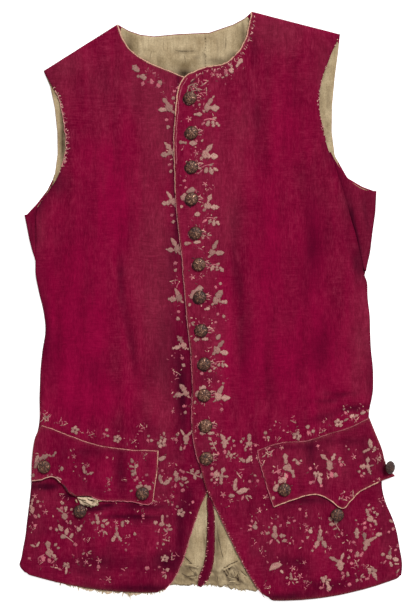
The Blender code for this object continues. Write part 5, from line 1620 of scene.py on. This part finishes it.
def tuftRows(table, first, last, spacing, inset, length, colours, seed):
    # short stray stitches set square to an edge, unevenly
    pick = np.random.default_rng(seed)
    line = evenCurve(table, 200)
    run = runAlong(line)
    rows = []
    for at in np.arange(first, last, spacing / run[-1]):
        at = at + pick.normal() * 0.3 * spacing / run[-1]
        i = min(max(int(at * 199), 1), 198)
        dx, dy = line[i + 1] - line[i - 1]
        angle = math.degrees(math.atan2(dy, dx))
        x, y = line[i] + np.array([dy, -dx]) / math.hypot(dx, dy) * (inset + pick.normal() * 0.7)
        rows.append((x, y, angle + 90 + pick.normal() * 35, length * pick.uniform(0.5, 1.4),
                     pick.uniform(0.8, 1.6), pick.normal() * 40, 0.4, 0.5,
                     colours[pick.integers(len(colours))]))
    return rows


sew("tufts_front_right",
    tuftRows(rightArmhole, 0.14, 0.72, 1.5, 0.2, 3.0, ["blush", "blush", "linen", "pink"], 5)
    + tuftRows(rightArmhole, 0.30, 0.66, 3.0, -2.6, 2.6, ["blush", "pink", "rose"], 6)
    + tuftRows(rightArmhole, 0.20, 0.40, 2.4, 1.8, 3.4, ["linen", "blush"], 7), overRight)
sew("tufts_front_left",
    tuftRows(leftArmhole, 0.04, 0.95, 2.3, 0.3, 2.4, ["blush", "linen", "pink", "blush"], 8)
    + tuftRows(leftEdge[:7], 0.04, 0.9, 2.8, -3.4, 4.2, ["pink", "blush", "pale"], 23)
    + tuftRows(leftEdge[:6], 0.1, 0.95, 5.0, -0.2, 1.8, ["crimson", "rose"], 24)
    + tuftRows(leftArmhole, 0.5, 0.9, 2.2, 1.2, 2.6, ["linen", "blush"], 22), overLeft)
# loose linen threads over the torn patch; the brown and dark strokes are painted shadow under it
tearRows = [
    (-179, -259, -34, 12, 1.4, 30, 0.3, 0.5, "brown"), (-174, -263, -10, 16, 1.1, -30, 0.3, 0.4, "brown"),
    (-166, -260, -20, 13, 1.2, 20, 0.3, 0.4, "dark"), (-160, -265, 14, 9, 1.6, 40, 0.3, 0.7, "linen"),
    (-156, -261, -60, 9, 1.4, 40, 0.3, 0.6, "linen"), (-171, -267, -20, 15, 1.3, 24, 0.3, 0.5, "brown"),
    (-153, -263, 10, 7, 1.4, 0, 0.3, 0.5, "linen"), (-182, -260, -70, 6, 1.5, 20, 0.3, 0.5, "linen"),
]
sew("threads_and_shade_torn_patch", tearRows, overRight, linen, "cream_linen", lift=2.1)
# marks on the lining: the brown and dark strokes are dark stitching and painted shade in the creases, the tan
# ones painted shade of the creases at the neck
liningMarks = [
    (-48, 344.5, -3, 24, 1.3, 6, 0.3, 0.2, "tan"), (-20, 336, 20, 16, 1.3, 40, 0.3, 0.2, "tan"),
    (-10, 343, -70, 9, 1.2, 20, 0.3, 0.2, "tan"),
    (-64, 356, -88, 20, 1.0, 4, 0.3, 0.15, "tan"), (-66, 336, -95, 16, 1.6, 0, 0.3, 0.2, "tan"),
    (20, 362, -92, 18, 0.9, 0, 0.3, 0.15, "tan"), (-36, 338, -80, 14, 0.9, 10, 0.3, 0.15, "tan"),
    (-80, 344, -110, 10, 1.0, 10, 0.3, 0.15, "tan"),
    (26, 336, 40, 12, 1.4, 10, 0.3, 0.2, "tan"),
    (15, -357, 25, 27, 2.2, 10, 0.4, 0.8, "linen"), (15, -359.5, 24, 26, 1.3, 10, 0.3, 0.3, "dark"),
    (-39, -349, 6, 22, 1.8, -24, 0.4, 0.7, "linen"),
    (-39, -351.5, 4, 22, 1.1, -24, 0.3, 0.3, "brown"), (-37, -336, -52, 20, 1.0, 14, 0.3, 0.2, "brown"),
    (8, -300, -88, 48, 1.3, 6, 0.3, 0.2, "brown"),
    (20, -362, -40, 13, 1.6, 60, 0.3, 0.3, "dark"), (26, -358, -70, 12, 1.3, 40, 0.3, 0.3, "brown"),
    (34, -360, -50, 12, 1.4, -60, 0.3, 0.3, "dark"),
    (40, -356, -60, 14, 1.2, 30, 0.3, 0.3, "brown"), (16, -368, -20, 12, 1.3, 40, 0.3, 0.3, "brown"),
    (24, -372, 10, 12, 1.6, -30, 0.3, 0.5, "linen"),
    (30, -366, 30, 10, 1.6, 60, 0.3, 0.5, "linen"), (8, -362, -80, 12, 1.2, 0, 0.3, 0.3, "brown"),
    (-30, -362, -30, 12, 1.2, 30, 0.3, 0.3, "brown"),
    (-36, -366, 20, 14, 1.2, -30, 0.3, 0.3, "brown"), (-24, -356, -80, 12, 1.2, 20, 0.3, 0.3, "brown"),
    (44, -366, -30, 9, 1.3, 40, 0.3, 0.3, "dark"),
    (-20, -372, 6, 14, 1.0, 10, 0.3, 0.3, "brown"), (12, -376, -4, 26, 1.0, 6, 0.3, 0.3, "brown"),
    *[(-7.3 + 0.4 * math.sin(k), 362 - 4.2 * k, -91, 2.4, 0.9, 0, 0.4, 0.15, "brown") for k in range(14)],
    (-34, -345, -22, 21, 1.2, 4, 0.3, 0.2, "brown"), (-36, -347, -17, 24, 1.3, 6, 0.3, 0.5, "linen"),
    (15, -354.5, 27, 26, 1.2, -8, 0.3, 0.2, "brown"), (14, -356.5, 27, 28, 1.3, -10, 0.3, 0.5, "linen"),
    (18, -358, -50, 7, 1.3, 10, 0.4, 0.3, "brown"), (24, -356, -105, 8, 1.4, 20, 0.4, 0.3, "brown"),
    (30, -355, -62, 9, 1.2, -16, 0.4, 0.3, "brown"),
    (36, -356, -76, 8, 1.5, 10, 0.4, 0.3, "brown"), (44, -351, -62, 12, 1.2, -10, 0.4, 0.3, "brown"),
    (-30, -352, -62, 9, 1.3, 12, 0.4, 0.3, "brown"),
    (-21, -357, -84, 8, 1.4, -14, 0.4, 0.3, "brown"), (-40, -360, -40, 9, 1.2, 12, 0.4, 0.3, "brown"),
    (21, -364, -30, 12, 1.3, 14, 0.4, 0.5, "linen"),
    (28, -369, 20, 10, 1.2, 12, 0.4, 0.3, "brown"), (-30, -366, 8, 14, 1.3, 12, 0.4, 0.5, "linen"),
]
sew("stitches_and_shade_lining", liningMarks, overLining, linen, "cream_linen", puff=0.6)


def hemThreads():
    # loose ends of linen below the torn hems: each a thin tube that falls away and curls
    pick = np.random.default_rng(90)
    tubes, lowest = [], -402
    strip, hem = (np.array(sorted(line)).T for line in (hemStrip["bottom"], lining["hem"]))
    places = [(x, *strip, 3.5, 7) for x in pick.uniform(-206, -62, 44)]
    places += [(x, *hem, 1.6, 4.5) for x in pick.uniform(-52, 58, 34)]
    longer = ((-112, 16), (-107, 13), (-118, 11), (-70, 9), (-66, 10), (-150, 9))
    places += [(x, *strip, 3, length) for x, length in longer]
    for x, edgeX, edgeY, inside, length in places:
        y = np.interp(x, edgeX, edgeY) + inside
        heading = math.radians(pick.uniform(-150, -20))
        t = np.linspace(0, 1, 12)
        turn = heading + pick.normal() * 0.9 * t
        reach = length * pick.uniform(0.6, 1.2) / 11
        px = x + reach * np.cumsum(np.cos(turn))
        py = np.maximum(y + reach * np.cumsum(np.sin(turn)), lowest)
        pz = 3.6 - 2.6 * t**0.7
        radius = 0.6 * (1.15 - t) * pick.uniform(0.8, 1.5)
        colour = threadColours[["linen", "pale", "brown", "linen"][pick.integers(4)]]
        tubes.append((np.column_stack([px, py, pz]), radius, colour))
    return tubes


layCord("threads_hem", hemThreads(), linen)
facingLine = curveThrough(facing["rows"], np.linspace(0, len(facing["rows"]) - 1, 60))
for name, side, seed, first in (("fray_vent_right", -1, 9, 0.35), ("fray_vent_left", 1, 10, 0.1)):
    line = facingLine[:, :2] + np.column_stack([side * facingLine[:, 2] / 2, 0 * facingLine[:, 2]])
    fringe = tuftRows(line, first, 0.98, 1.5, 0, 2.6, ["blush", "pink", "linen", "rose"], seed)
    sew(name, fringe, overFacing, puff=0.8)
for name, table, cloth, inset, seed in (
    ("fray_skirt_left", leftEdge[23:], overLeft, -0.5, 20),
    ("fray_skirt_right", rightEdge[22:], overRight, 0.5, 21),
):
    fringe = tuftRows(table, 0.02, 0.98, 2.6, inset, 2.0, ["blush", "pink", "rose", "rose", "pale"], seed)
    sew(name, fringe, cloth, puff=0.6)
print("edgings made")

studio = {
    "lens": 100,
    "cameraAt": (-6.75, 1.35, 2287.5),
    "keyFrom": (0.55, 0.85, 1.25),
    "keyStrength": 2.7,
    "keySpread": 22,
    "fill": 0.52,
    "floor": (0.90, 0.90, 0.90),
    "glow": 0.6,
}


def makeStudio():
    scene = bpy.context.scene
    scene.view_settings.view_transform = "Standard"
    lens = bpy.data.cameras.new("camera")
    lens.lens, lens.sensor_width = studio["lens"], 36
    lens.clip_end = 20
    camera = bpy.data.objects.new("camera", lens)
    camera.location = Vector(studio["cameraAt"]) * mm
    scene.collection.objects.link(camera)
    scene.camera = camera
    sun = bpy.data.lights.new("key", "SUN")
    sun.energy, sun.angle = studio["keyStrength"], math.radians(studio["keySpread"])
    key = bpy.data.objects.new("key", sun)
    key.rotation_euler = Vector(studio["keyFrom"]).to_track_quat("Z", "Y").to_euler()
    scene.collection.objects.link(key)
    world = bpy.data.worlds.new("studio")
    world.use_nodes = True
    sky = world.node_tree.nodes["Background"].inputs
    sky["Color"].default_value = (1, 1, 1, 1)
    sky["Strength"].default_value = studio["fill"]
    scene.world = world
    mesh = bpy.data.meshes.new("floor")
    level = -0.0004  # just under the cloth, in metres
    mesh.from_pydata([(-6, -6, level), (6, -6, level), (6, 6, level), (-6, 6, level)], [], [(0, 1, 2, 3)])
    paper = bpy.data.materials.new("floor_paper")
    paper.use_nodes = True
    sheet = paper.node_tree.nodes["Principled BSDF"].inputs
    sheet["Base Color"].default_value = (*studio["floor"], 1)
    sheet["Roughness"].default_value = 0.9
    sheet["Emission Color"].default_value = (1, 1, 1, 1)
    sheet["Emission Strength"].default_value = studio["glow"]
    mesh.materials.append(paper)
    floor = bpy.data.objects.new("floor", mesh)
    scene.collection.objects.link(floor)


makeStudio()
print("studio made")
